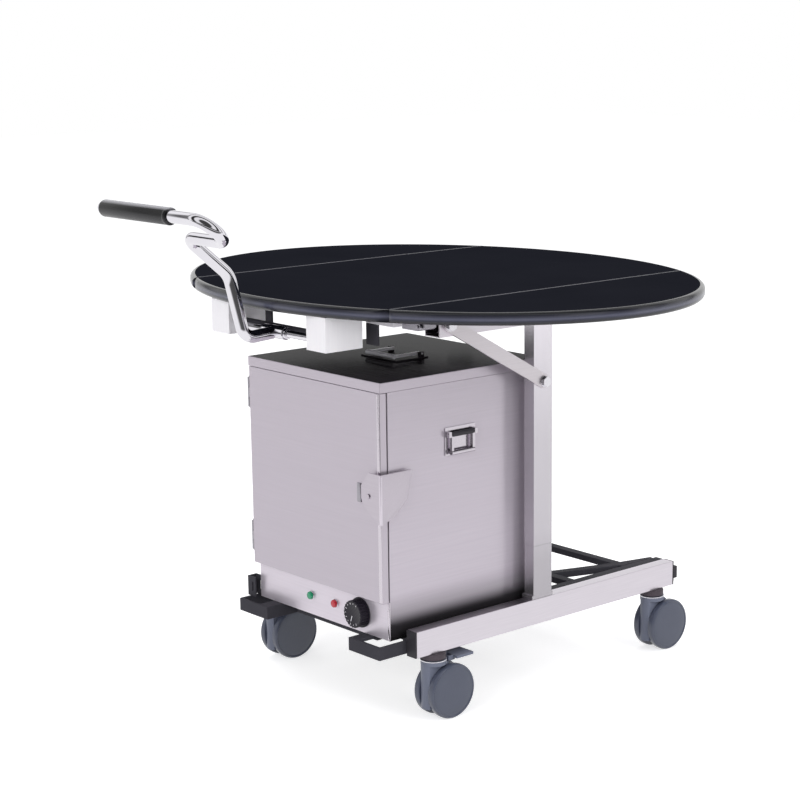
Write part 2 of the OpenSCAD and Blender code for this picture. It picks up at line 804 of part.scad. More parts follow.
// Wire shelves resting on the ledges
module shelves() {
    x0 = liner_left + liner_t + guide_t + 2;
    x1 = liner_right - liner_t - guide_t - 2;
    y0 = -box_front + 26;
    y1 = liner_rear - 16;
    wire = 6;
    rods = 11;
    color("#cfcdd2") on_table() for (z = shelf_levels) {
        for (x = [x0, x1 - wire]) block([x, y0, z + 0.1], [x + wire, y1, z + wire]);
        for (y = [y0, y1 - wire]) block([x0, y, z + 0.1], [x1, y + wire, z + wire]);
        for (i = [1 : rods]) {
            x = x0 + (x1 - x0) * i / (rods + 1);
            block([x - 1.5, y0 + 1, z + 1], [x + 1.5, y1 - 1, z + 4]);
        }
    }
}

// ---- door ----
door_sheet = 1.2;

module door_skin() {
    color("#b9b1bb") on_table() difference() {
        block([door_left, -door_front, door_z], [door_right, -door_back, door_top]);
        block([door_left + door_sheet, -door_front + door_sheet, door_z + door_sheet],
              [door_right - door_sheet, -door_back + 1, door_top - door_sheet]);
    }
}

module door_pan() {
    e = door_sheet + seat_gap;
    color("#bdb8bf") on_table() difference() {
        block([door_left + e, -door_front + e, door_z + e], [door_right - e, -door_back, door_top - e]);
        block([door_left + e + 2, -door_front + e - 1, door_z + e + 2],
              [door_right - e - 2, -door_back - door_sheet, door_top - e - 2]);
    }
}

module door_gasket() {
    m = 10;
    w = 9;
    color("#26262a") on_table() difference() {
        block([door_left + m, -door_back, door_z + m],
              [door_right - m, -door_back + gasket_t, door_top - m]);
        block([door_left + m + w, -door_back - 1, door_z + m + w],
              [door_right - m - w, -door_back + gasket_t + 1, door_top - m - w]);
    }
}

// Fixed half: a plate on the box side, the outer knuckles and the pin
module door_hinges_fixed() {
    ax = door_axis[0];
    ay = door_axis[1];
    color("#aaa8ad") on_table() for (z = door_hinge_z) {
        for (s = [-1, 1]) {
            z0 = z + s * (knuckle_h + move_gap) - knuckle_h / 2;
            rod_z(ax, ay, z0, z0 + knuckle_h, barrel_d);
            block([box_left - 1.8, ay, z0], [box_left, -box_front + 4, z0 + knuckle_h]);
            block([ax, ay, z0], [box_left, ay + barrel_d / 2, z0 + knuckle_h]);
        }
        block([box_left - 1.8, -box_front + 4, z - 1.5 * knuckle_h - move_gap],
              [box_left, -box_front + 26, z + 1.5 * knuckle_h + move_gap]);
        rod_z(ax, ay, z - 1.5 * knuckle_h - 3, z + 1.5 * knuckle_h + 3, pin_d);
    }
}

// Moving half: the middle knuckle with its plate on the door's edge
module door_hinges_moving() {
    ax = door_axis[0];
    ay = door_axis[1];
    half = knuckle_h / 2;
    color("#aaa8ad") on_table() for (z = door_hinge_z) difference() {
        union() {
            rod_z(ax, ay, z - half, z + half, barrel_d);
            block([ax, ay - barrel_d / 2, z - half], [door_left, ay, z + half]);
            block([door_left - 1, ay - door_t / 2 + 1, z - half],
                  [door_left, ay + door_t / 2 - 1, z + half]);
        }
        rod_z(ax, ay, z - half - 1, z + half + 1, pin_d + 2 * run_gap);
    }
}

// Door pull: one sheet wrapped round the free edge of the door, with its bolt
pull_t = 2.5;
pull_out = 8;
module door_pull() {
    z1 = box_top - 157;
    front_face = -door_front - pull_out;
    side_face = box_right + pull_out;
    color("#b5b0b8") on_table() {
        // front leg, tapered towards its lower inner corner
        translate([0, front_face, 0]) rotate([90, 0, 0]) linear_extrude(pull_t)
            polygon([[box_right - 50, z1 - 35], [box_right - 34, z1 - 62], [box_right, z1 - 84],
                     [side_face + pull_t, z1 - 90], [side_face + pull_t, z1], [box_right - 22, z1]]);
        // inner edge bent back to the door
        translate([0, front_face, 0]) rotate([90, 0, 0]) translate([0, 0, -pull_out])
            linear_extrude(pull_out)
            polygon([[box_right - 50, z1 - 35], [box_right - 34, z1 - 62], [box_right - 31, z1 - 61],
                     [box_right - 47, z1 - 34]]);
        // side leg
        translate([side_face, 0, 0]) rotate([90, 0, 90]) linear_extrude(pull_t)
            polygon([[front_face - pull_t, z1], [-door_back + 46, z1], [-door_back + 34, z1 - 49],
                     [-door_back + 6, z1 - 76], [front_face - pull_t, z1 - 91]]);
        // rolled lip of the side leg
        block([side_face - 3, -door_back - 2, z1 - 3], [side_face, -door_back + 44, z1]);
        rod_y(box_right - 23, front_face - pull_t - 2, -door_front, z1 - 42, 9);
    }
}

// Magnetic catch under the liner's ceiling, behind the free edge of the door
module magnet_catch() {
    ceiling = liner_top - liner_t;
    color("#55545a") on_table() block([liner_right - 50, -box_front + 2, ceiling - 11],
                                      [liner_right - 14, -box_front + 14, ceiling]);
}

// ---- lifting handles ----
ear_z = side_plate[1] / 2 - 12;
ear_y = side_plate[0] / 2 - 5;
top_pin_y = 27;
top_leg = 60;

// Side handle laid out with its plate in the YZ plane, +X outward
module side_handle_plate() {
    w = side_plate[0] / 2;
    h = side_plate[1] / 2;
    difference() {
        block([0, -w, -h], [plate_sheet, w, h]);
        block([plate_sheet / 2, -w + 11, -h + 6], [plate_sheet + 1, w - 11, h - 6]);
    }
    for (s = [-1, 1]) difference() {
        block([0, s * ear_y - ear_w / 2, ear_z - 5], [bail_out + 3, s * ear_y + ear_w / 2, ear_z + 5]);
        rod_y(bail_out, s * ear_y - ear_w, s * ear_y + ear_w, ear_z, bail_pin + 2 * run_gap);
    }
}

module side_bail() {
    in_y = ear_y - ear_w / 2 - move_gap;
    leg = 5;
    low = -side_plate[1] / 2 + 5;
    for (s = [-1, 1]) {
        rod_y(bail_out, s > 0 ? in_y - leg : -in_y - 8, s > 0 ? in_y + 8 : -in_y + leg, ear_z, bail_pin);
        block([bail_out - leg / 2, s > 0 ? in_y - leg : -in_y, low],
              [bail_out + leg / 2, s > 0 ? in_y : -in_y + leg, ear_z + leg / 2]);
    }
    rod_y(bail_out, -in_y, in_y, low, bail_d);
}

module top_handle_plate() {
    w = top_plate[0] / 2;
    h = top_plate[1] / 2;
    block([-w, -h, 0], [w, h, plate_sheet]);
    for (s = [-1, 1]) difference() {
        block([s * (w - 8) - ear_w / 2, top_pin_y - 5, 0],
              [s * (w - 8) + ear_w / 2, top_pin_y + 5, bail_out + 3]);
        rod_x(s * (w - 8) - ear_w, s * (w - 8) + ear_w, top_pin_y, bail_out, bail_pin + 2 * run_gap);
    }
}

module top_bail() {
    in_x = top_plate[0] / 2 - 8 - ear_w / 2 - move_gap;
    leg = 5;
    for (s = [-1, 1]) {
        rod_x(s > 0 ? in_x - leg : -in_x - 8, s > 0 ? in_x + 8 : -in_x + leg, top_pin_y, bail_out, bail_pin);
        block([s > 0 ? in_x - leg : -in_x, top_pin_y - top_leg, bail_out - leg / 2],
              [s > 0 ? in_x : -in_x + leg, top_pin_y + leg / 2, bail_out + leg / 2]);
    }
    rod_x(-in_x, in_x, top_pin_y - top_leg, bail_out, bail_d);
}

module at_right_handle() translate([box_right, side_handle[0], side_handle[1]]) children();
module at_left_handle() {
    translate([box_left, side_handle[0], side_handle[1]]) rotate([0, 0, 180]) children();
}
module at_top_handle() translate([box_mid, top_handle_y, box_top]) children();

module handle_plates() {
    color("#c9c9ce") on_table() {
        at_right_handle() side_handle_plate();
        at_left_handle() side_handle_plate();
        at_top_handle() top_handle_plate();
    }
}
module bail_right() color("#c9c9ce") on_table() at_right_handle() side_bail();
module bail_left() color("#c9c9ce") on_table() at_left_handle() side_bail();
module bail_top() color("#c9c9ce") on_table() at_top_handle() top_bail();

// Appliance inlet in the rear wall
module power_inlet() {
    z = box_z + 40;
    color("#202024") on_table() difference() {
        union() {
            rod_y(box_mid, box_rear - 24, box_rear, z, 33);
            block([box_mid - 25, box_rear, z - 18], [box_mid + 25, box_rear + 3, z + 18]);
        }
        block([box_mid - 12, box_rear - 14, z - 8], [box_mid + 12, box_rear + 4, z + 8]);
    }
}

// ---- castors ----
module castor_caps() {
    color("#2c2d31") on_table() for (p = stems) translate([p[0], p[1], 0]) difference() {
        rod_z(0, 0, mount_z - cap_h, mount_z, cap_d);
        rod_z(0, 0, mount_z - cap_h - 1, mount_z - 2, stem_d + 2 * run_gap);
    }
}

// Swivelling fork: stem, neck, the nose and the plate between the wheels, and the axle
module castor_fork(braked) {
    wheel_r = wheel_d / 2;
    half = core_w / 2;
    difference() {
        union() {
            rod_z(0, 0, neck_z, neck_top, neck_d);
            rod_z(0, 0, neck_z, mount_z - 2.5, stem_d);
            intersection() {
                rod_z(0, 0, nose_z, neck_z + 1, neck_d);
                block([-half, -neck_d, nose_z], [half, 0, neck_z + 1]);
            }
            block([-half, -1, wheel_r], [half, trail, neck_z + 1]);
            rod_x(-half, half, trail, wheel_r, wheel_d - 14);
            rod_x(-half - wheel_w + 4, half + wheel_w - 4, trail, wheel_r, axle_d);
            if (braked) {
                block([-lug_w / 2, neck_d / 2 - 6, neck_z], [lug_w / 2, pedal_y, neck_top - 1]);
                rod_x(-lug_w / 2, lug_w / 2, pedal_y, (neck_z + neck_top) / 2, neck_top - neck_z - 1);
            }
        }
        if (braked)
            rod_x(-lug_w, lug_w, pedal_y, (neck_z + neck_top) / 2, pedal_pin_d + 2 * run_gap);
    }
}

module castor(i, braked) {
    color("#5a616f") on_table() translate([stems[i][0], stems[i][1], 0]) castor_fork(braked);
}
module castor_front_right() castor(0, true);
module castor_front_left() castor(1, true);
module castor_rear_right() castor(2, false);
module castor_rear_left() castor(3, false);

// Twin wheels turned about X, one each side of the fork, closed on their outer faces
module wheel() {
    r = wheel_d / 2;
    x0 = core_w / 2 + move_gap;
    x1 = core_w / 2 + wheel_w;
    bore = axle_d / 2 + run_gap;
    rotate([0, 90, 0]) rotate_extrude()
        polygon([[bore, x0], [r - 3, x0], [r, x0 + 3], [r, x1 - 3], [r - 3, x1], [0, x1],
                 [0, x1 - 3], [bore, x1 - 3]]);
}

module wheels(i) {
    color("#3c4049") on_table() translate([stems[i][0], stems[i][1] + trail, wheel_d / 2])
        for (s = [0, 1]) mirror([s, 0, 0]) wheel();
}
module wheels_front_right() wheels(0);
module wheels_front_left() wheels(1);
module wheels_rear_right() wheels(2);
module wheels_rear_left() wheels(3);

// Foot pedals behind the front castors, hinged on a pin through the fork's lug
module brake_pedal(i) {
    z = (neck_z + neck_top) / 2;
    in_x = lug_w / 2 + move_gap;
    out_x = in_x + 4;
    color("#2c2d31") on_table() translate([stems[i][0], stems[i][1], 0]) {
        rod_x(-out_x, out_x, pedal_y, z, pedal_pin_d);
        for (s = [-1, 1]) block([s > 0 ? in_x : -out_x, pedal_y - 3, neck_z + 0.5],
                                [s > 0 ? out_x : -in_x, pedal_y + 12, neck_top]);
        block([-20, pedal_y + 9, neck_top - 5], [20, pedal_y + 48, neck_top]);
    }
}
module pedal_right() brake_pedal(0);
module pedal_left() brake_pedal(1);

rail_right();
rail_end_caps();
post_foot();
post_tube();
strut();
strut_bolts();
table_frame();
base_sides();
cross_bars();
box_stops();
centre_leaf();
right_leaf();
left_leaf();
centre_edging();
right_edging();
left_edging();
hinge_brackets();
hinge_blocks();
hinge_plates_right();
hinge_plates_left();
handle_housings();
handle_rod();
lock_bar();
handle_tube();
handle_grip();
box_shell();
top_cover();
liner();
lagging();
control_panel();
door_skin();
door_pan();
door_gasket();
door_hinges_fixed();
door_hinges_moving();
door_pull();
magnet_catch();
knob();
thermostat();
green_lamp();
red_lamp();
heater();
rack_guides();
shelves();
handle_plates();
bail_right();
bail_left();
bail_top();
power_inlet();
castor_caps();
castor_front_right();
castor_front_left();
castor_rear_right();
castor_rear_left();
wheels_front_right();
wheels_front_left();
wheels_rear_right();
wheels_rear_left();
pedal_right();
pedal_left();
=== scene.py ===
# %% [markdown]
# # Dressing a room service table
# A hotel trolley with an oval drop-leaf top, a heated food box and a chromed push handle. The
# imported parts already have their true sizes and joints, so this lesson only gives them their
# looks: softened edges, turned and bent details, and a finish for every surface. The frame is
# loaded first, because each later piece takes its place from it.

# %% Load the frame
import json
import math

import bmesh
import bpy
from mathutils import Matrix, Vector


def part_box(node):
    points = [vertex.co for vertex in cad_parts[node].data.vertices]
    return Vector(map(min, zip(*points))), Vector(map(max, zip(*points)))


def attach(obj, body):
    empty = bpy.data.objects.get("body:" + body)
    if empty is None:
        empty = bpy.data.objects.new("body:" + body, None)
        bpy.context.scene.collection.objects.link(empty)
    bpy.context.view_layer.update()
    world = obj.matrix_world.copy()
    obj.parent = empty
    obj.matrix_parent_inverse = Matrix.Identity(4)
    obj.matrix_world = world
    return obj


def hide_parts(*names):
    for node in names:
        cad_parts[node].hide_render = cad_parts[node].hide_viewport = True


MM = 0.001
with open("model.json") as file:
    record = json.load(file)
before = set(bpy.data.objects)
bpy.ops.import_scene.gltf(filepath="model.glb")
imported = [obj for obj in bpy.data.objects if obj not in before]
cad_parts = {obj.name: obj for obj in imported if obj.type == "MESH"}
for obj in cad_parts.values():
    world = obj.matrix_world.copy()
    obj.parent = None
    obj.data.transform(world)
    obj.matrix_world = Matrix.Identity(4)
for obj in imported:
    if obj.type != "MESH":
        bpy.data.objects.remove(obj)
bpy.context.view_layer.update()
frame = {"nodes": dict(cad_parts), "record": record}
nodes, record = frame["nodes"], frame["record"]
bodies = record["behaviour"]["bodies"]
body_of = {node: body for body, members in bodies.items() for node in members}
print("nodes:", len(nodes), "bodies:", len(bodies))

# %% [markdown]
# ## Colours
# Paint and metal colours are easiest to name as they look on a screen, from 0 to 255. Blender's
# shaders work in linear light, so one helper converts a screen colour before it reaches a socket.

# %% A screen colour as linear light
def paint(red, green, blue):
    def linear(value):
        value = value / 255
        return value / 12.92 if value <= 0.04045 else ((value + 0.055) / 1.055) ** 2.4

    return (linear(red), linear(green), linear(blue), 1.0)


print("mid grey in linear light:", round(paint(128, 128, 128)[0], 3))

# %% [markdown]
# ## Surface patterns as node groups
# Brushed steel, moulded plastic and polished laminate all need small variations. Two noise
# textures do the work: a fine one for the grain and a broad one for handling marks and dust. They
# live in one group with named sockets, so every material uses the same pattern with its own
# values.

# %% Grain and handling marks
COLOUR_RANGE, ROUGH_RANGE = (0.12, 0.40), (0.3, 0.7)
GROUP_SOCKETS = [
    ("Place", "INPUT", "Vector"), ("Light", "INPUT", "Color"), ("Dark", "INPUT", "Color"),
    ("Grain scale", "INPUT", "Float"), ("Mark scale", "INPUT", "Float"),
    ("Rough low", "INPUT", "Float"), ("Rough high", "INPUT", "Float"),
    ("Colour", "OUTPUT", "Color"), ("Roughness", "OUTPUT", "Float"), ("Height", "OUTPUT", "Float"),
]


def build_surface_group():
    group = bpy.data.node_groups.new("grain_and_marks", "ShaderNodeTree")
    for name, side, kind in GROUP_SOCKETS:
        group.interface.new_socket(name, in_out=side, socket_type="NodeSocket" + kind)
    add, link = group.nodes.new, group.links.new
    start, end = add("NodeGroupInput"), add("NodeGroupOutput")
    grain, marks = add("ShaderNodeTexNoise"), add("ShaderNodeTexNoise")
    grain.inputs["Detail"].default_value = 3
    marks.inputs["Detail"].default_value = 4
    marks.inputs["Roughness"].default_value = 0.6
    for noise, scale in ((grain, "Grain scale"), (marks, "Mark scale")):
        link(start.outputs["Place"], noise.inputs["Vector"])
        link(start.outputs[scale], noise.inputs["Scale"])
    both = add("ShaderNodeMath")
    spread, rough = add("ShaderNodeMapRange"), add("ShaderNodeMapRange")
    both.operation = "MULTIPLY"
    link(grain.outputs["Fac"], both.inputs[0])
    link(marks.outputs["Fac"], both.inputs[1])
    for node, (low, high) in ((spread, COLOUR_RANGE), (rough, ROUGH_RANGE)):
        node.inputs["From Min"].default_value = low
        node.inputs["From Max"].default_value = high
    link(both.outputs["Value"], spread.inputs["Value"])
    colour = add("ShaderNodeMix")
    colour.data_type = "RGBA"
    link(spread.outputs["Result"], colour.inputs["Factor"])
    link(start.outputs["Dark"], colour.inputs["A"])
    link(start.outputs["Light"], colour.inputs["B"])
    link(marks.outputs["Fac"], rough.inputs["Value"])
    link(start.outputs["Rough low"], rough.inputs["To Min"])
    link(start.outputs["Rough high"], rough.inputs["To Max"])
    link(colour.outputs["Result"], end.inputs["Colour"])
    link(rough.outputs["Result"], end.inputs["Roughness"])
    link(grain.outputs["Fac"], end.inputs["Height"])
    return group


surface_group = build_surface_group()
print("group sockets:", len(surface_group.interface.items_tree))

# %% [markdown]
# ## Shade by height
# On the real table the bands of light and dark along the round edging, the grip, the post and the
# side sheet are mostly reflections. Here they are painted: a ramp over the height above the floor
# multiplies the base colour. So they stay the same under another light, and they move with a
# leaf or the handle. Gloss alone would be the truer way. The stops are pairs of height and level.

# %% Ramps of grey
def grey_ramp(tree, value, stops):
    ramp = tree.nodes.new("ShaderNodeValToRGB")
    for _ in stops[2:]:
        ramp.color_ramp.elements.new(0.5)
    for stop, (place, level) in zip(ramp.color_ramp.elements, stops):
        stop.position, stop.color = place, (level, level, level, 1)
    tree.links.new(value, ramp.inputs["Fac"])
    return ramp.outputs["Color"]


def shaded_by_height(tree, where, colour, stops):
    parts, mix = tree.nodes.new("ShaderNodeSeparateXYZ"), tree.nodes.new("ShaderNodeMix")
    tree.links.new(where.outputs["Object"], parts.inputs["Vector"])
    linear_stops = [(height * MM, paint(level, level, level)[0]) for height, level in stops]
    mix.data_type, mix.blend_type = "RGBA", "MULTIPLY"
    mix.inputs["Factor"].default_value = 1
    tree.links.new(colour, mix.inputs["A"])
    tree.links.new(grey_ramp(tree, parts.outputs["Z"], linear_stops), mix.inputs["B"])
    return mix.outputs["Result"]


print("stops of a shade: height in millimetres above the floor, level from 0 to 255")

# %% A material from the group
GRAIN_DEPTH, COAT_ROUGHNESS = 0.2, 0.08


def finish(name, light, dark, rough, metallic=0.0, stretch=(1, 1, 1), grain=900, marks=9,
           bump=0.02, coat=0.0, specular=0.5, shade=None):
    material = bpy.data.materials.new(name)
    material.use_nodes = True
    tree = material.node_tree
    add, link = tree.nodes.new, tree.links.new
    shader = tree.nodes["Principled BSDF"]
    where, mapping = add("ShaderNodeTexCoord"), add("ShaderNodeMapping")
    surface, relief = add("ShaderNodeGroup"), add("ShaderNodeBump")
    mapping.inputs["Scale"].default_value = stretch
    surface.node_tree = surface_group
    values = {"Light": paint(*light), "Dark": paint(*dark), "Grain scale": grain,
              "Mark scale": marks, "Rough low": rough[0], "Rough high": rough[1]}
    for socket, value in values.items():
        surface.inputs[socket].default_value = value
    relief.inputs["Strength"].default_value = bump
    relief.inputs["Distance"].default_value = GRAIN_DEPTH * MM
    link(where.outputs["Object"], mapping.inputs["Vector"])
    link(mapping.outputs["Vector"], surface.inputs["Place"])
    colour = surface.outputs["Colour"]
    if shade:
        colour = shaded_by_height(tree, where, colour, shade)
    link(colour, shader.inputs["Base Color"])
    link(surface.outputs["Roughness"], shader.inputs["Roughness"])
    link(surface.outputs["Height"], relief.inputs["Height"])
    link(relief.outputs["Normal"], shader.inputs["Normal"])
    shader.inputs["Metallic"].default_value = metallic
    shader.inputs["Specular IOR Level"].default_value = specular
    shader.inputs["Coat Weight"].default_value = coat
    shader.inputs["Coat Roughness"].default_value = COAT_ROUGHNESS
    return material


print("grain depth:", GRAIN_DEPTH, "mm")

# %% [markdown]
# ## The finishes
# Each row says how light and how dark the surface gets, its least and greatest roughness, and how
# metallic it is. Brushed steel stretches the grain along one axis. Polished surfaces have no bump.
# Real steel is fully metallic. The post, strut, housings, box sheets and top bail are set lower,
# which evens out what they reflect but makes them less true under another light.

# %% Steel, chrome and zinc
ALONG_X, ALONG_Y, ALONG_Z = (0.02, 1, 1), (1, 0.02, 1), (1, 1, 0.02)
# Painted shade by height: the post lighter upwards, the side sheet dark at its foot
POST_SHADE = [(172, 190), (245, 196), (300, 210), (470, 217), (600, 235), (680, 255)]
SIDE_SHADE = [(152, 50), (180, 84), (200, 205), (235, 255), (430, 250), (560, 240)]
finishes = {
    "rail": finish("brushed_rail", (229, 223, 231), (220, 214, 222), (0.26, 0.36), 1.0,
                   ALONG_Y, 700),
    "post": finish("brushed_post", (252, 247, 254), (244, 239, 247), (0.2, 0.3), 0.85,
                   ALONG_Z, 700, shade=POST_SHADE),
    "strut": finish("brushed_strut", (228, 222, 227), (220, 214, 219), (0.3, 0.4), 0.9,
                    ALONG_Y, 700),
    "housing": finish("housing_steel", (254, 252, 255), (248, 246, 250), (0.3, 0.4), 0.15,
                      ALONG_Z, 700),
    "front": finish("box_front_steel", (200, 192, 202), (196, 188, 198), (0.28, 0.34), 0.6,
                    ALONG_X, 400, bump=0.003),
    # Painted light: the door's steel made lighter, against the shade low on the panel
    "panel": finish("panel_steel_painted_lighter", (226, 218, 228), (221, 213, 223), (0.28, 0.34), 0.55,
                    ALONG_X, 400, bump=0.003),
    "side": finish("box_side_steel", (205, 197, 207), (200, 192, 202), (0.2, 0.26), 0.45,
                   ALONG_Y, 400, bump=0.003, shade=SIDE_SHADE),
    # Painted highlight: the folds are the sheet's steel made lighter
    "fold": finish("folded_edge_painted_highlight", (222, 215, 224), (214, 207, 216), (0.2, 0.3), 1.0,
                   ALONG_Z, 400),
    "pull": finish("pull_steel", (204, 197, 206), (198, 190, 200), (0.26, 0.34), 1.0,
                   ALONG_X, 500),
    # Painted reflection: the dark underside of the table, mirrored in the polished top
    "cover": finish("cover_painted_reflection", (54, 50, 54), (46, 43, 47), (0.10, 0.16), 0.0,
                    ALONG_X, 500, bump=0.0, specular=0.004),
    "liner": finish("liner_steel", (196, 190, 198), (180, 174, 182), (0.28, 0.4), 1.0,
                    ALONG_Z, 600),
    "chrome": finish("bright_chrome", (236, 234, 240), (228, 226, 232), (0.03, 0.07), 1.0,
                     bump=0.0),
    "bail": finish("bail_chrome", (252, 250, 255), (246, 244, 250), (0.1, 0.16), 0.3, bump=0.0),
    "chrome_soft": finish("satin_chrome", (214, 208, 216), (204, 198, 206), (0.14, 0.2), 1.0),
    "zinc": finish("zinc_hardware", (190, 187, 194), (160, 157, 165), (0.3, 0.45), 1.0),
    "zinc_bright": finish("bright_washer", (240, 238, 244), (228, 226, 232), (0.2, 0.3), 1.0),
}
print("metal finishes:", len(finishes))

# %% Laminate, paint, plastic and rubber
# Painted highlights by height: a light band on the edging's nose, a light line atop the grip
EDGE_SHADE = [(725, 26), (730, 84), (734.5, 168), (738.5, 110), (742, 44), (744.2, 112),
              (746, 32)]
GRIP_SHADE = [(885, 34), (889, 84), (896, 70), (903, 34), (910, 28), (912.6, 60), (914.2, 190)]
finishes |= {
    "laminate": finish("black_laminate", (31, 32, 38), (27, 28, 34), (0.42, 0.5), marks=5,
                       bump=0.0, specular=0.0),
    "edging": finish("gloss_edging", (150, 152, 176), (132, 134, 158), (0.14, 0.2), marks=12,
                     bump=0.0, specular=0.42, shade=EDGE_SHADE),
    # Painted highlight: the seam lips are a lighter grey than the laminate
    "lip": finish("seam_lip_painted_highlight", (84, 84, 90), (66, 66, 72), (0.4, 0.5), marks=20, specular=0.2),
    "black_bar": finish("satin_black_paint", (74, 73, 79), (62, 61, 67), (0.42, 0.55),
                        grain=1600, bump=0.06, specular=0.04),
    "plastic": finish("black_plastic", (62, 60, 65), (52, 50, 55), (0.38, 0.5), grain=2200,
                      bump=0.08, specular=0.2),
    "cap": finish("cap_plastic", (86, 78, 84), (74, 67, 73), (0.38, 0.5), grain=2200,
                  bump=0.08, specular=0.2),
    "grip": finish("grip_rubber", (226, 225, 232), (214, 213, 220), (0.2, 0.28), grain=2600,
                   bump=0.05, specular=0.25, shade=GRIP_SHADE),
    "white": finish("white_plastic", (250, 247, 252), (238, 234, 240), (0.35, 0.45), grain=1800),
    "wool": finish("mineral_wool", (214, 208, 176), (188, 180, 148), (0.9, 1.0), grain=400,
                   bump=0.8),
    "gasket": finish("gasket_rubber", (36, 36, 40), (26, 26, 30), (0.6, 0.7), grain=2600,
                     bump=0.1),
    "dial": finish("dial_plastic", (36, 32, 42), (28, 24, 34), (0.3, 0.4), grain=2400,
                   specular=0.3),
    "bakelite": finish("thermostat_body", (146, 132, 112), (122, 108, 90), (0.35, 0.5),
                       grain=1500),
    "green": finish("green_lens", (22, 158, 112), (16, 128, 92), (0.12, 0.2), coat=0.5),
    "red": finish("red_lens", (212, 32, 54), (176, 20, 40), (0.12, 0.2), coat=0.5),
    "castor": finish("castor_grey", (120, 125, 142), (108, 113, 130), (0.3, 0.4), grain=2200,
                     bump=0.06, specular=0.3),
    "tyre": finish("castor_cover", (84, 89, 106), (74, 79, 96), (0.18, 0.26), grain=2400,
                   bump=0.03, specular=0.6),
}
print("finishes:", len(finishes))

# %% [markdown]
# ## Soft edges
# No folded sheet or sawn tube has a razor edge: the small round at each corner is what catches
# the light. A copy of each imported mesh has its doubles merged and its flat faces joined, and then
# its sharp edges are bevelled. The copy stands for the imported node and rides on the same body.

# %% A new piece on its body
def new_piece(name, bm, material, body, smooth_angle=35):
    mesh = bpy.data.meshes.new(name)
    bm.to_mesh(mesh)
    bm.free()
    mesh.materials.append(finishes[material])
    for polygon in mesh.polygons:
        polygon.use_smooth = True
    mesh.set_sharp_from_angle(angle=math.radians(smooth_angle))
    piece = bpy.data.objects.new(name, mesh)
    bpy.context.collection.objects.link(piece)
    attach(piece, body)
    return piece


def stands_for(piece, node):
    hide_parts(node)
    return piece


def shade_evenly(piece):
    piece.modifiers.new("even_shading", "WEIGHTED_NORMAL").keep_sharp = True
    return piece


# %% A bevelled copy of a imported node
DOUBLES, FLAT_ANGLE, SHARP_ANGLE = 0.002, math.radians(0.8), 40


def merged_copy(node):
    bm = bmesh.new()
    bm.from_mesh(nodes[node].data)
    bmesh.ops.remove_doubles(bm, verts=bm.verts, dist=DOUBLES * MM)
    bmesh.ops.dissolve_limit(bm, angle_limit=FLAT_ANGLE, verts=bm.verts, edges=bm.edges)
    return bm


def sharp_edges(bm, least=SHARP_ANGLE):
    limit = math.radians(least)
    return [e for e in bm.edges if len(e.link_faces) == 2 and e.calc_face_angle() > limit]


def soften(bm, edges, width, segments=2):
    bmesh.ops.bevel(bm, geom=edges, offset=width * MM, offset_type="OFFSET", segments=segments,
                    profile=0.5, affect="EDGES", clamp_overlap=True, material=-1)


def softened(node, width, material, segments=2):
    bm = merged_copy(node)
    soften(bm, sharp_edges(bm), width, segments)
    piece = new_piece(node + "_dressed", bm, material, body_of[node])
    return stands_for(shade_evenly(piece), node)


# Each row: width of the rounded edge in mm, finish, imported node
PLAIN_PIECES = [
    (1.2, "rail", "rail_right"), (1.0, "plastic", "rail_end_caps"), (1.0, "post", "post_foot"),
    (1.2, "post", "post_tube"), (0.6, "strut", "strut"), (0.8, "zinc_bright", "strut_bolts"),
    (1.0, "rail", "table_frame"), (1.0, "black_bar", "base_sides"),
    (1.5, "black_bar", "cross_bars"), (0.4, "black_bar", "box_stops"),
    (0.4, "zinc", "hinge_brackets"), (1.0, "white", "hinge_blocks"),
    (0.4, "zinc", "hinge_plates_right"), (0.4, "zinc", "hinge_plates_left"),
    (1.2, "housing", "handle_housings"), (0.5, "chrome", "handle_rod"),
    (0.5, "black_bar", "lock_bar"), (0.6, "side", "box_shell"), (0.3, "liner", "liner"),
    (1.5, "wool", "lagging"), (0.3, "panel", "control_panel"), (0.8, "front", "door_skin"),
    (0.4, "liner", "door_pan"), (0.5, "gasket", "door_gasket"),
    (0.4, "zinc", "door_hinges_fixed"), (0.4, "zinc", "door_hinges_moving"),
    (0.6, "plastic", "magnet_catch"), (0.8, "bakelite", "thermostat"), (0.1, "zinc", "heater"),
    (0.3, "liner", "rack_guides"), (0.6, "chrome", "shelves"), (0.8, "plastic", "power_inlet"),
    (1.2, "castor", "castor_front_right"), (1.2, "castor", "castor_front_left"),
    (1.2, "castor", "castor_rear_right"), (1.2, "castor", "castor_rear_left"),
    (1.5, "castor", "pedal_right"), (1.5, "castor", "pedal_left"),
]
for width, material, node in PLAIN_PIECES:
    softened(node, width, material)
print("bevelled copies:", len(PLAIN_PIECES))

# %% [markdown]
# ## The three leaves
# The boards are flat and their edges are hidden by the edging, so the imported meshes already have
# the right shape and only take the laminate.

# %% Laminate on the leaves
LEAVES = ("centre_leaf", "right_leaf", "left_leaf")
for node in LEAVES:
    nodes[node].data.materials.clear()
    nodes[node].data.materials.append(finishes["laminate"])
print("laminated leaves:", len(LEAVES))

# %% [markdown]
# ## Bullnose edging
# The moulded edging of the table has a round nose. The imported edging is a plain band, so only the
# top and bottom edges of its outer wall are bevelled, nearly half the board's thickness deep. The
# moulding is cut back at each end of a seam, which leaves a small notch in the outline.

# %% Round the nose of the edging
NOSE, NOSE_SEGMENTS, NOTCH, AT_SEAM = 8.2, 7, 9.5, 0.05


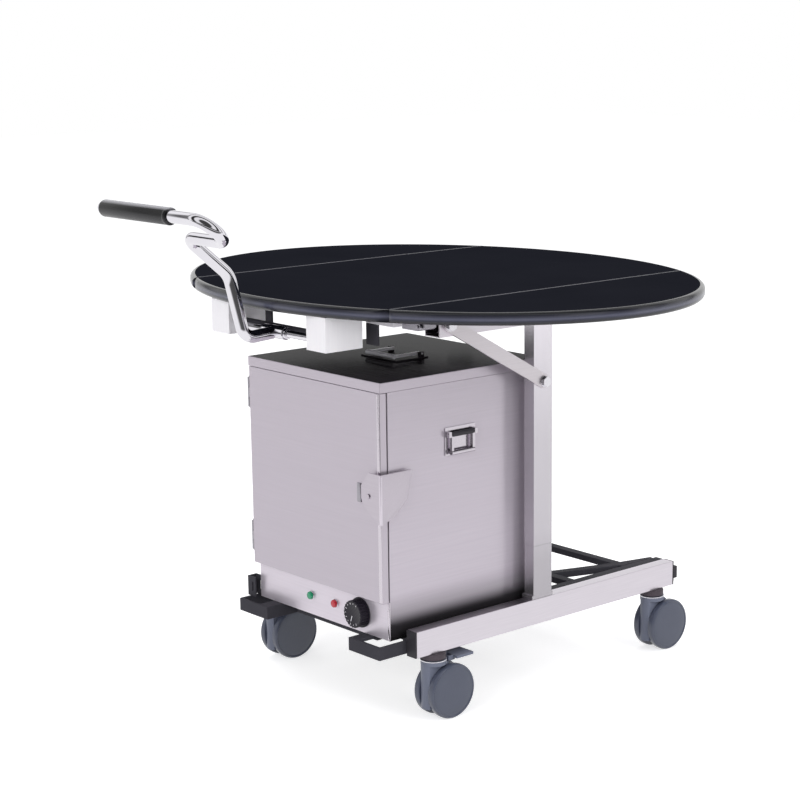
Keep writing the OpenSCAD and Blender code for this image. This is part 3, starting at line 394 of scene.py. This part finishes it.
def outer_rim_edges(bm, middle):
    rim = []
    for edge in bm.edges:
        if len(edge.link_faces) != 2:
            continue
        flat = [f for f in edge.link_faces if abs(f.normal.z) > 0.9]
        wall = [f for f in edge.link_faces if abs(f.normal.z) < 0.1]
        if len(flat) != 1 or len(wall) != 1:
            continue
        centre = (edge.verts[0].co + edge.verts[1].co) / 2 - middle
        outward = Vector((centre.x, centre.y, 0)).normalized()
        if wall[0].normal.dot(outward) > 0.5 and abs(wall[0].normal.x) < 0.9999:
            rim.append(edge)
    return rim


def notch_corners(bm, low, high, seam_sides):
    for side in seam_sides:
        seam = high.x if side > 0 else low.x
        at_seam = [v.co.y for v in bm.verts if abs(v.co.x - seam) < AT_SEAM * MM]
        for outer, front in ((min(at_seam), -1), (max(at_seam), 1)):
            point = Vector((seam - side * NOTCH * MM, outer, 0))
            geom = list(bm.verts) + list(bm.edges) + list(bm.faces)
            cut = bmesh.ops.bisect_plane(bm, geom=geom, plane_co=point, clear_outer=True,
                                         plane_no=Vector((side, front, 0)))["geom_cut"]
            bmesh.ops.holes_fill(bm, edges=edges_in(cut))


def verts_in(geom):
    return [part for part in geom if isinstance(part, bmesh.types.BMVert)]


def edges_in(geom):
    return [part for part in geom if isinstance(part, bmesh.types.BMEdge)]


def middle_of(node):
    low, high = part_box(node)
    return (low + high) / 2


table_middle = middle_of("centre_edging")
for node, seam_sides in (("centre_edging", (1, -1)), ("right_edging", (-1,)),
                         ("left_edging", (1,))):
    bm = merged_copy(node)
    rim = outer_rim_edges(bm, table_middle)
    soften(bm, rim, NOSE, NOSE_SEGMENTS)
    notch_corners(bm, *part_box(node), seam_sides)
    stands_for(new_piece(node + "_bullnose", bm, "edging", body_of[node]), node)
    print(node, "rim edges:", len(rim))

# %% [markdown]
# ## Seams of the top
# The laminate is turned over a thin rounded lip at each seam. The lips stand a little proud with
# rounded edges that catch some light; their grey, lighter than the laminate, is a painted
# highlight, so the two lips show as one fine grey line. Each lip is a long low strip with bevelled
# edges on its own leaf.

# %% Lips along the seams
LIP_W, LIP_SUNK, LIP_OUT, LIP_ROUND = 2.2, 0.5, 0.5, 0.4


def rounded_block(bm, place, size, round_edge, segments):
    matrix = place @ Matrix.Diagonal((*size, 1))
    corners = set(bmesh.ops.create_cube(bm, size=1, matrix=matrix)["verts"])
    soften(bm, [edge for edge in bm.edges if edge.verts[0] in corners], round_edge, segments)


def long_strip(bm, low, high, round_edge):
    low, high = Vector(low), Vector(high)
    rounded_block(bm, Matrix.Translation((low + high) / 2), high - low, round_edge, 2)


lip_front, lip_rear = (corner.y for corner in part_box("right_leaf"))
for node, sides in zip(LEAVES, ((1, -1), (-1,), (1,))):
    low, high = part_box(node)
    bm = bmesh.new()
    for side in sides:
        seam = high.x if side > 0 else low.x
        left, right = sorted((seam, seam - side * LIP_W * MM))
        long_strip(bm, (left, lip_front, high.z - LIP_SUNK * MM),
                   (right, lip_rear, high.z + LIP_OUT * MM), LIP_ROUND)
    new_piece(node + "_lip", bm, "lip", body_of[node], 60)
print("seam lips: 4")

# %% [markdown]
# ## Turned parts
# Knobs, wheels, caps and lenses are turned shapes. Each is a half outline that spin carries round
# an axis, which gives clean rings for the highlights to run along. The outline is written as
# pairs of radius and height, in millimetres, with arcs where the real part is rounded.

# %% A lathe
def arc(radius, height, r, start, end, steps=6):
    angles = [math.radians(start + (end - start) * i / steps) for i in range(steps + 1)]
    return [(radius + r * math.cos(a), height + r * math.sin(a)) for a in angles]


def lathe(bm, outline, pose, segments=64):
    points = [bm.verts.new(pose @ Vector((r * MM, 0, h * MM))) for r, h in outline]
    edges = [bm.edges.new(pair) for pair in zip(points, points[1:])]
    axis = pose.to_3x3() @ Vector((0, 0, 1))
    bmesh.ops.spin(bm, geom=points + edges, cent=pose.translation, axis=axis, angle=math.tau,
                   steps=segments, use_merge=True, use_duplicate=False)
    bmesh.ops.remove_doubles(bm, verts=bm.verts, dist=0.001 * MM)
    bmesh.ops.recalc_face_normals(bm, faces=bm.faces)


def turned(degrees, axis):
    return Matrix.Rotation(math.radians(degrees), 4, axis)


def moved(x, y, z):
    return Matrix.Translation((x * MM, y * MM, z * MM))


TOWARDS_FRONT, TOWARDS_RIGHT = turned(90, "X"), turned(90, "Y")
print("arc points:", len(arc(5, 5, 2, 0, 90)))

# %% [markdown]
# ## The push handle
# The waiter's handle is one length of chromed tube: up past the table's edge, forward, then a
# U-turn that ends in the grip. A ring of edges is pushed along straights and spun round each bend
# in turn, so the tube stays perfectly round and its reflections don't break at the bends.

# %% Rings pushed and bent
RING_ANGLE, FEWEST_RINGS = 6, 4


def push_ring(bm, ring, vector):
    grown = bmesh.ops.extrude_edge_only(bm, edges=ring)["geom"]
    bmesh.ops.translate(bm, verts=verts_in(grown), vec=vector)
    return edges_in(grown)


def bend_ring(bm, ring, pose, radius, angle):
    corners = list(dict.fromkeys(corner for edge in ring for corner in edge.verts))
    rings = max(FEWEST_RINGS, round(angle / RING_ANGLE))
    grown = bmesh.ops.spin(bm, geom=corners + ring, cent=pose @ Vector((radius * MM, 0, 0)),
                           axis=pose.to_3x3() @ Vector((0, 1, 0)), angle=math.radians(angle),
                           steps=rings, use_duplicate=False)["geom_last"]
    return edges_in(grown)


print("one ring for every", RING_ANGLE, "degrees of a bend")

# %% Bend the tube
# Each step: straight run, radius of the bend, angle of the bend, roll before it (mm and degrees)
HANDLE_STEPS = [(47, 25, 80, 0), (81, 45, 36, 180), (69, 28, 90, 90), (67, 31, 180, 180)]
START_ANGLE, TUBE_START, TUBE_IN_GRIP = -4, 9, 20
GRIP_GAP, GRIP_LENGTH, TUBE_R, GRIP_R = 64, 200, 11, 15
HUB_R, HUB_HALF, HUB_WALL = 11.5, 30, 4

rod_middle = Matrix.Translation(middle_of("handle_rod"))
handle_pose = rod_middle @ turned(90, "X") @ turned(90, "Z")
handle_pose = handle_pose @ turned(START_ANGLE, "Y")
bm = bmesh.new()
bmesh.ops.create_circle(bm, segments=40, radius=TUBE_R * MM,
                        matrix=handle_pose @ moved(0, 0, TUBE_START))
ring = list(bm.edges)
already = TUBE_START
for length, radius, angle, roll in HANDLE_STEPS:
    run = (length - already) * MM
    already = 0
    ring = push_ring(bm, ring, handle_pose.to_3x3() @ Vector((0, 0, run)))
    handle_pose = handle_pose @ moved(0, 0, length) @ turned(roll, "Z")
    ring = bend_ring(bm, ring, handle_pose, radius, angle)
    handle_pose = handle_pose @ moved(radius, 0, 0) @ turned(angle, "Y") @ moved(-radius, 0, 0)
last_run = Vector((0, 0, (GRIP_GAP + TUBE_IN_GRIP) * MM))
ring = push_ring(bm, ring, handle_pose.to_3x3() @ last_run)
bmesh.ops.recalc_face_normals(bm, faces=bm.faces)
hub = [(HUB_R - HUB_WALL, -HUB_HALF)] + arc(HUB_R - 1, 1 - HUB_HALF, 1, -90, 0, 3)
hub += arc(HUB_R - 1, HUB_HALF - 1, 1, 0, 90, 3) + [(HUB_R - HUB_WALL, HUB_HALF)]
lathe(bm, hub, rod_middle @ TOWARDS_RIGHT)
stands_for(new_piece("push_tube", bm, "chrome", "push_handle", 50), "handle_tube")
print("tube ends at", [round(c, 3) for c in handle_pose.translation])

# %% Turn the grip and its chromed tip
TIP_R, TIP_OUT = 12, 10
sleeve_top = GRIP_GAP + GRIP_LENGTH
bm = bmesh.new()
sleeve = [(TUBE_R + 0.1, GRIP_GAP)] + arc(GRIP_R - 2, GRIP_GAP + 2, 2, -90, 0)
sleeve += [(GRIP_R, GRIP_GAP + 5), (GRIP_R - 0.6, GRIP_GAP + 6.5), (GRIP_R - 0.2, GRIP_GAP + 8)]
sleeve += arc(GRIP_R - 3, sleeve_top - 3, 3, 0, 90) + [(4, sleeve_top)]
lathe(bm, sleeve, handle_pose)
stands_for(new_piece("grip_sleeve", bm, "grip", "push_handle", 60), "handle_grip")
bm = bmesh.new()
tip = [(0, sleeve_top - 2), (TIP_R, sleeve_top - 2)]
tip += arc(TIP_R / 2, sleeve_top + 4, TIP_R / 2, 0, 90) + [(0, sleeve_top + TIP_OUT)]
lathe(bm, tip, handle_pose)
new_piece("grip_tip", bm, "chrome", "push_handle", 60)
print("grip length:", GRIP_LENGTH, "mm")

# %% [markdown]
# ## The top cover of the box
# The cover is one folded sheet with a brushed rim. Its flat top is polished and mirrors the dark
# underside of the table. That reflection is not traced here: the top takes a dark colour with
# almost no gloss instead. The same bevelled copy takes both finishes, chosen by which way a face
# looks.

# %% Two finishes on the cover
COVER_ROUND, COVER_SEGMENTS = 1.0, 3

bm = merged_copy("top_cover")
soften(bm, sharp_edges(bm), COVER_ROUND, COVER_SEGMENTS)
cover = new_piece("box_cover", bm, "front", body_of["top_cover"])
cover.data.materials.append(finishes["cover"])
cover_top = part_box("top_cover")[1].z
for polygon in cover.data.polygons:
    if polygon.normal.z > 0.99 and polygon.center.z > cover_top - 0.5 * MM:
        polygon.material_index = 1
stands_for(shade_evenly(cover), "top_cover")
print("cover faces on top:", sum(p.material_index for p in cover.data.polygons))

# %% [markdown]
# ## Folded edges of the front
# The sheet of the door is folded over at its free side, and the side sheet of the box is folded
# round onto the front. Both folds are narrow strips that stand a little proud and catch some light
# at their rounded edges; their lighter finish is a painted highlight.

# %% Folds at the free side of the door
FOLD_OUT, FOLD_IN, FOLD_ROUND = 0.7, 0.3, 0.6
FOLDS = (("door_fold", "door_skin", 9), ("panel_fold", "control_panel", 5))
for name, node, width in FOLDS:
    low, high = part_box(node)
    bm = bmesh.new()
    long_strip(bm, (high.x - width * MM, low.y - FOLD_OUT * MM, low.z + 1 * MM),
               (high.x - FOLD_IN * MM, low.y + 1 * MM, high.z - 1 * MM), FOLD_ROUND)
    new_piece(name, bm, "fold", body_of[node], 60)
print("folds:", len(FOLDS))

# %% [markdown]
# ## Dial and lamps
# The dial is a fluted black knob with white marks round its face, and each lamp is a small
# coated lens in a chromed bezel. The flutes are made by moving in every few points of a
# circle before it is extruded; two insets then give the face a raised rim.

# %% The fluted dial
KNOB_R, KNOB_H, KNOB_OUT, SKIRT_R, FLUTE = 25, 18, 0.6, 27.5, 0.955
panel_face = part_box("control_panel")[0].y


def on_panel(node):
    place = middle_of(node)
    return Matrix.Translation((place.x, panel_face, place.z)) @ TOWARDS_FRONT


dial_pose = on_panel("knob")
bm = bmesh.new()
bmesh.ops.create_circle(bm, cap_ends=True, segments=120, radius=KNOB_R * MM)
by_angle = sorted(bm.verts, key=lambda corner: math.atan2(corner.co.y, corner.co.x))
for index, corner in enumerate(by_angle):
    if index % 5 < 2:
        corner.co *= FLUTE
grown = bmesh.ops.extrude_face_region(bm, geom=list(bm.faces))["geom"]
face = [part for part in grown if isinstance(part, bmesh.types.BMFace)]
bmesh.ops.translate(bm, verts=verts_in(grown), vec=(0, 0, KNOB_H * MM))
for thickness, depth in ((2.2, 1.0), (1.2, -0.5)):
    bmesh.ops.inset_region(bm, faces=face, thickness=thickness * MM, depth=depth * MM)
bmesh.ops.recalc_face_normals(bm, faces=bm.faces)
bmesh.ops.transform(bm, matrix=dial_pose @ moved(0, 0, KNOB_OUT), verts=bm.verts)
skirt = [(0, 0.3), (SKIRT_R - 1, 0.3)] + arc(SKIRT_R - 1.2, 1.7, 1.2, 0, 90)
lathe(bm, skirt + [(KNOB_R - 2, 3), (0, 3)], dial_pose, 96)
dial = stands_for(new_piece("dial", bm, "dial", "dial", 30), "knob")
print("dial points:", len(dial.data.vertices))

# %% White marks on the dial
MARK_RING, MARK_TOP, MARK_W, MARK_H, MARK_ROUND = 19.5, KNOB_H + 1.15, 1.1, 0.4, 0.12
MARKS, FIRST_MARK, MARK_STEP, LONG_MARK, SHORT_MARK = 11, 60, 24, 3.4, 1.8
POINTER, POINTER_RING, POINTER_ANGLE = (11, 1.4, 0.4), 9, 250
bm = bmesh.new()
for step in range(MARKS):
    length = SHORT_MARK if step % 2 else LONG_MARK
    place = dial_pose @ turned(FIRST_MARK + step * MARK_STEP, "Z") @ moved(MARK_RING, 0, MARK_TOP)
    rounded_block(bm, place, [v * MM for v in (length, MARK_W, MARK_H)], MARK_ROUND, 1)
place = dial_pose @ turned(POINTER_ANGLE, "Z") @ moved(POINTER_RING, 0, MARK_TOP)
scale = Matrix.Diagonal((*[v * MM for v in POINTER], 1))
bmesh.ops.create_cube(bm, size=1, matrix=place @ scale)
new_piece("dial_marks", bm, "white", "dial")
print("marks on the dial:", MARKS + 1)

# %% Lamps
LENS_R, BEZEL_R, BEZEL_GAP = 7, 8.5, 0.05
LAMPS = (("green_lamp", "green"), ("red_lamp", "red"))
lens = [(0, 0.2), (LENS_R, 0.2)] + arc(LENS_R - 1.6, 4.4, 1.6, 0, 60) + [(3, 6.2), (0, 6.5)]
bezel = [(LENS_R + BEZEL_GAP, 0)] + arc(BEZEL_R - 0.8, 0.8, 0.8, 0, 90, 4)
bezel += [(LENS_R + BEZEL_GAP, 1.2)]
for node, material in LAMPS:
    bm = bmesh.new()
    lathe(bm, lens, on_panel(node), 40)
    stands_for(new_piece(node + "_lens", bm, material, body_of[node], 40), node)
    bm = bmesh.new()
    lathe(bm, bezel, on_panel(node), 40)
    new_piece(node + "_bezel", bm, "chrome", body_of[node], 40)
print("lamps:", len(LAMPS))

# %% [markdown]
# ## The door pull
# One bent sheet wraps the free edge of the door: a front leg with a small tab and a bolt, and a
# side leg with a rolled lip. The corners of the cut sheet are generously rounded, so the upright
# edges of the imported shape get a wide bevel before the thin ones get a narrow one. A thin strip
# in a lighter finish runs along the bend: a painted highlight.

# %% Round the corners of the pull
SHEET_CORNER, SHEET_ROUND = 9, 0.4
SHEET_LEAST, SHEET_MOST = 1.0, 3.2


# The upright edges are as long as the sheet is thick
def across_sheet(bm, low, high):
    found = []
    for edge in bm.edges:
        if len(edge.link_faces) == 2 and low * MM < edge.calc_length() < high * MM:
            if edge.calc_face_angle() > math.radians(20):
                found.append(edge)
    return found


bm = merged_copy("door_pull")
soften(bm, across_sheet(bm, SHEET_LEAST, SHEET_MOST), SHEET_CORNER, 5)
soften(bm, sharp_edges(bm, 50), SHEET_ROUND, 2)
pull = new_piece("door_pull_sheet", bm, "pull", body_of["door_pull"])
stands_for(shade_evenly(pull), "door_pull")
print("pull faces:", len(pull.data.polygons))

# %% The pull's bend and tab
# Each row: piece, finish, rounding, and two corners in mm from the top of the bend
low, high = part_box("door_pull")
BOLT_OUT = 2
bend_top = Vector((high.x, low.y + BOLT_OUT * MM, high.z))
PULL_DETAILS = [
    # The bend strip takes the lighter panel steel as a painted highlight
    ("door_pull_bend_painted_highlight", "panel", 0.6, (-4, -0.4, -88), (0.4, 4, -0.5)),
    ("door_pull_tab", "zinc", 0.5, (-63, -0.8, -56), (-53.5, 2.4, -22)),
]
for name, material, round_edge, first, second in PULL_DETAILS:
    bm = bmesh.new()
    long_strip(bm, bend_top + Vector(first) * MM, bend_top + Vector(second) * MM, round_edge)
    new_piece(name, bm, material, body_of["door_pull"], 60)
print("details of the pull:", len(PULL_DETAILS))

# %% [markdown]
# ## Lifting handles
# Each chest handle is a pressed plate with two ears and a wire bail that hangs from them. The
# bails and plates get soft edges, and each side hinge pin gets a black sleeve.

# %% Handle plates and bails
HANDLE_PARTS = (("handle_plates", 0.7, "chrome_soft"), ("bail_right", 1.4, "chrome_soft"),
                ("bail_left", 1.4, "chrome_soft"), ("bail_top", 1.4, "bail"))
for node, width, material in HANDLE_PARTS:
    softened(node, width, material, 3)
# The plate on the cover takes the same dark colour as the cover's top, its painted reflection
plates = bpy.data.objects["handle_plates_dressed"]
plates.data.materials.append(finishes["cover"])
for polygon in plates.data.polygons:
    if polygon.center.z > cover_top - 1 * MM:
        polygon.material_index = 1
print("handle parts:", len(HANDLE_PARTS))

# %% Sleeves on the side bails
SLEEVE_R, SLEEVE_HALF, SLEEVE_ROUND, PIN_IN, PIN_DOWN = 4.6, 26, 1.5, 4.25, 2.5
sleeve = [(0, -SLEEVE_HALF)]
sleeve += arc(SLEEVE_R - SLEEVE_ROUND, SLEEVE_ROUND - SLEEVE_HALF, SLEEVE_ROUND, -90, 0, 4)
sleeve += arc(SLEEVE_R - SLEEVE_ROUND, SLEEVE_HALF - SLEEVE_ROUND, SLEEVE_ROUND, 0, 90, 4)
sleeve += [(0, SLEEVE_HALF)]
for node, side in (("bail_right", 1), ("bail_left", -1)):
    low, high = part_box(node)
    pin_x = high.x - PIN_IN * MM if side > 0 else low.x + PIN_IN * MM
    pin = Vector((pin_x, (low.y + high.y) / 2, high.z - PIN_DOWN * MM))
    bm = bmesh.new()
    lathe(bm, sleeve, Matrix.Translation(pin) @ TOWARDS_FRONT, 32)
    new_piece(node + "_sleeve", bm, "plastic", body_of[node], 50)
print("sleeves: 2")

# %% [markdown]
# ## Castors
# Each castor has a dark mounting cap over a bright washer, a neck with a nose that runs down
# between the wheels, and twin wheels with domed covers. Wheels, caps and washers are turned.

# %% Twin wheels
WHEEL_R, WHEEL_W = 50, 14
CORNERS = ("front_right", "front_left", "rear_right", "rear_left")


def wheel_outline(inner, outer):
    rim = [(6, inner), (WHEEL_R - 4, inner)] + arc(WHEEL_R - 2.5, inner + 2.5, 2.5, -90, 0, 4)
    rim += arc(WHEEL_R - 5, outer - 5, 5, 0, 72, 7)
    groove = [(WHEEL_R - 4.6, outer - 0.9), (WHEEL_R - 5.4, outer - 1.7),
              (WHEEL_R - 6.4, outer - 1.6)]
    dome = [(WHEEL_R - 8, outer - 1.2), (WHEEL_R - 14, outer - 0.7), (28, outer - 0.4),
            (12, outer - 0.1), (0, outer)]
    return rim + groove + dome


for corner in CORNERS:
    node = "wheels_" + corner
    low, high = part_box(node)
    half = (high.x - low.x) / 2 / MM
    bm = bmesh.new()
    for side in (90, -90):
        pose = Matrix.Translation(middle_of(node)) @ turned(side, "Y")
        lathe(bm, wheel_outline(half - WHEEL_W, half), pose, 80)
    stands_for(new_piece("twin_wheels_" + corner, bm, "tyre", body_of[node], 45), node)
print("twin wheels:", len(CORNERS))

# %% Caps and washers
NECK_R, CAP_R, CAP_H = 23, 22.5, 12
cap = [(0, 0.2)] + arc(CAP_R - 2, 2.2, 2, -90, 0, 4)
cap += arc(CAP_R - 2.5, CAP_H - 2.5, 2.5, 0, 90, 5) + [(0, CAP_H)]
washer = [(NECK_R - 2, -2.2), (NECK_R + 0.7, -2.2), (NECK_R + 0.9, -1.4), (NECK_R + 0.7, -0.6),
          (NECK_R - 2, -0.6), (NECK_R - 2, -2.2)]
caps, washers = bmesh.new(), bmesh.new()
cap_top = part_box("castor_caps")[1].z
for corner in CORNERS:
    low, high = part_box("castor_" + corner)
    stem_y = low.y + NECK_R * MM
    pose = Matrix.Translation(((low.x + high.x) / 2, stem_y, cap_top - CAP_H * MM))
    lathe(caps, cap, pose, 56)
    lathe(washers, washer, pose, 56)
    print(corner, "stem at", round(stem_y, 3))
stands_for(new_piece("mounting_caps", caps, "cap", body_of["castor_caps"], 50), "castor_caps")
washer_piece = new_piece("neck_washers", washers, "zinc_bright", "frame", 50)

# %% [markdown]
# ## Stage and light
# The table stands on a plain white floor under soft studio light. The camera sees floor and
# background white, with a faint shadow. Glossy rays don't see that white. They see a floor that is
# bright near the table and dark further off, and a room of bright walls with dark gaps, because
# chrome needs contrast to look like chrome. Both patterns lie along the line from the table to the
# camera. They are fixed in the world, so from other sides the metal reflects them otherwise.

# %% Nodes that combine values
def combined(tree, operation, *values):
    node = tree.nodes.new("ShaderNodeMath")
    node.operation = operation
    for socket, value in zip(node.inputs, values):
        if isinstance(value, bpy.types.NodeSocket):
            tree.links.new(value, socket)
        else:
            socket.default_value = value
    return node.outputs["Value"]


def along(tree, place, direction):
    dot = tree.nodes.new("ShaderNodeVectorMath")
    dot.operation = "DOT_PRODUCT"
    tree.links.new(place, dot.inputs[0])
    dot.inputs[1].default_value = direction
    return dot.outputs["Value"]


def mixed(tree, factor, first, second):
    mix = tree.nodes.new("ShaderNodeMixShader")
    for socket, value in zip(mix.inputs, (factor, first, second)):
        tree.links.new(value, socket)
    return mix.outputs["Shader"]


print("helpers for the stage: 3")

# %% Floor
# Stops in reaches from the middle: the bright sweep, the dark room, one lit strip
TOWARDS_CAMERA, SWEEP_REACH = (0.733, -0.680, 0), 5
SWEEP_RAMP = [(0.0, 1.0), (0.25, 1.0), (0.32, 0.10), (0.50, 0.06), (0.55, 0.8), (0.66, 0.8),
              (0.71, 0.05)]
FLOOR_SIZE, FLOOR_GREY, FLOOR_GLOW = 30, (0.86, 0.86, 0.86, 1), 0.62


def build_floor():
    bpy.ops.mesh.primitive_plane_add(size=FLOOR_SIZE, location=(0, 0, 0))
    floor = bpy.context.object
    floor.name = "studio_floor"
    material = bpy.data.materials.new("studio_white")
    material.use_nodes = True
    tree = material.node_tree
    tree.nodes.clear()
    add, link = tree.nodes.new, tree.links.new
    path, where = add("ShaderNodeLightPath"), add("ShaderNodeTexCoord")
    diffuse, lit = add("ShaderNodeBsdfDiffuse"), add("ShaderNodeAddShader")
    glow, sweep = add("ShaderNodeEmission"), add("ShaderNodeEmission")
    diffuse.inputs["Color"].default_value = FLOOR_GREY
    strength = combined(tree, "MULTIPLY", path.outputs["Is Camera Ray"], FLOOR_GLOW)
    link(strength, glow.inputs["Strength"])
    link(diffuse.outputs["BSDF"], lit.inputs[0])
    link(glow.outputs["Emission"], lit.inputs[1])
    direction = [part / SWEEP_REACH for part in TOWARDS_CAMERA]
    reach = along(tree, where.outputs["Object"], direction)
    link(grey_ramp(tree, reach, SWEEP_RAMP), sweep.inputs["Color"])
    mirrored = combined(tree, "MAXIMUM", path.outputs["Is Glossy Ray"],
                        path.outputs["Is Transmission Ray"])
    surface = mixed(tree, mirrored, lit.outputs["Shader"], sweep.outputs["Emission"])
    link(surface, add("ShaderNodeOutputMaterial").inputs["Surface"])
    floor.data.materials.append(material)


build_floor()
print("floor:", FLOOR_SIZE, "m")

# %% Room
# How light the room is, from its far end (0) to the end behind and above the camera (1)
CAMERA_END = (0.33, -0.31, 0.21)
ROOM_RAMP = [(0.0, 1.0), (0.17, 1.0), (0.21, 0.15), (0.26, 1.0), (0.41, 1.0), (0.45, 0.1),
             (0.52, 0.9), (0.60, 1.0), (0.66, 0.03), (0.75, 0.04), (0.79, 0.9), (0.90, 0.9),
             (0.94, 0.06)]
SOFT_COLOUR, SOFT_STRENGTH = (0.97, 0.97, 1.0, 1), 0.55


def build_world():
    world = bpy.data.worlds.new("studio")
    bpy.context.scene.world = world
    world.use_nodes = True
    tree = world.node_tree
    tree.nodes.clear()
    add, link = tree.nodes.new, tree.links.new
    path, where = add("ShaderNodeLightPath"), add("ShaderNodeTexCoord")
    soft, white, room = (add("ShaderNodeBackground") for _ in range(3))
    soft.inputs["Color"].default_value = SOFT_COLOUR
    soft.inputs["Strength"].default_value = SOFT_STRENGTH
    white.inputs["Color"].default_value = (1, 1, 1, 1)
    place = combined(tree, "ADD", along(tree, where.outputs["Generated"], CAMERA_END), 0.5)
    link(grey_ramp(tree, place, ROOM_RAMP), room.inputs["Color"])
    seen = combined(tree, "MAXIMUM", path.outputs["Is Camera Ray"],
                    path.outputs["Is Transmission Ray"])
    plain = mixed(tree, seen, soft.outputs["Background"], white.outputs["Background"])
    surface = mixed(tree, path.outputs["Is Glossy Ray"], plain, room.outputs["Background"])
    link(surface, add("ShaderNodeOutputWorld").inputs["Surface"])


build_world()
bpy.context.scene.view_settings.view_transform = "Standard"
print("view transform:", bpy.context.scene.view_settings.view_transform)

# %% Soft lamps
# Each row: name, place in m, width and height in m, power in watts. Glossy rays see the room
# instead of the lamps.
LAMP_AIM = Vector((0, 0, 0.5))
SOFTBOXES = [
    ("front_softbox", (1.2, -3.6, 2.2), (2.2, 1.8), 46),
    ("side_softbox", (3.6, 0.6, 1.8), (2.0, 1.8), 42),
    ("top_softbox", (-0.6, 0.4, 3.6), (3.0, 3.0), 60),
]
for name, place, size, power in SOFTBOXES:
    light = bpy.data.lights.new(name, "AREA")
    light.shape = "RECTANGLE"
    light.size, light.size_y = size
    light.energy = power
    lamp = bpy.data.objects.new(name, light)
    bpy.context.collection.objects.link(lamp)
    lamp.location = place
    lamp.rotation_euler = (LAMP_AIM - Vector(place)).to_track_quat("-Z", "Y").to_euler()
    lamp.visible_glossy = False
print("lamps:", len(bpy.data.lights))

# %% [markdown]
# ## The camera
# The camera stands about 3.6 metres away, in front and to the right, and looks down a little. The
# long lens keeps the box's upright edges nearly parallel, and a small shift frames the table.

# %% Camera
IMAGE, SENSOR, FAR = 800, 36, 100
FOCAL_PX, CENTRE_PX = 1967.3, (501.25, 426.53)
CAMERA_PLACE = (2.76252, -2.31118, 1.22967)
YAW, PITCH, ROLL = 47.151, 11.958, -0.152

camera_data = bpy.data.cameras.new("studio_camera")
camera = bpy.data.objects.new("studio_camera", camera_data)
bpy.context.collection.objects.link(camera)
camera_data.sensor_width = SENSOR
camera_data.lens = FOCAL_PX * SENSOR / IMAGE
camera_data.shift_x = (IMAGE / 2 - CENTRE_PX[0]) / IMAGE
camera_data.shift_y = (CENTRE_PX[1] - IMAGE / 2) / IMAGE
camera_data.clip_end = FAR
turn = turned(YAW, "Z") @ turned(90 - PITCH, "X") @ turned(ROLL, "Z")
camera.matrix_world = Matrix.Translation(CAMERA_PLACE) @ turn
bpy.context.scene.camera = camera
print("lens:", round(camera_data.lens, 1), "mm")

# %% [markdown]
# ## Finish
# The dressed model must fill the same box as the imported one.

# %% Finish
print("finished")
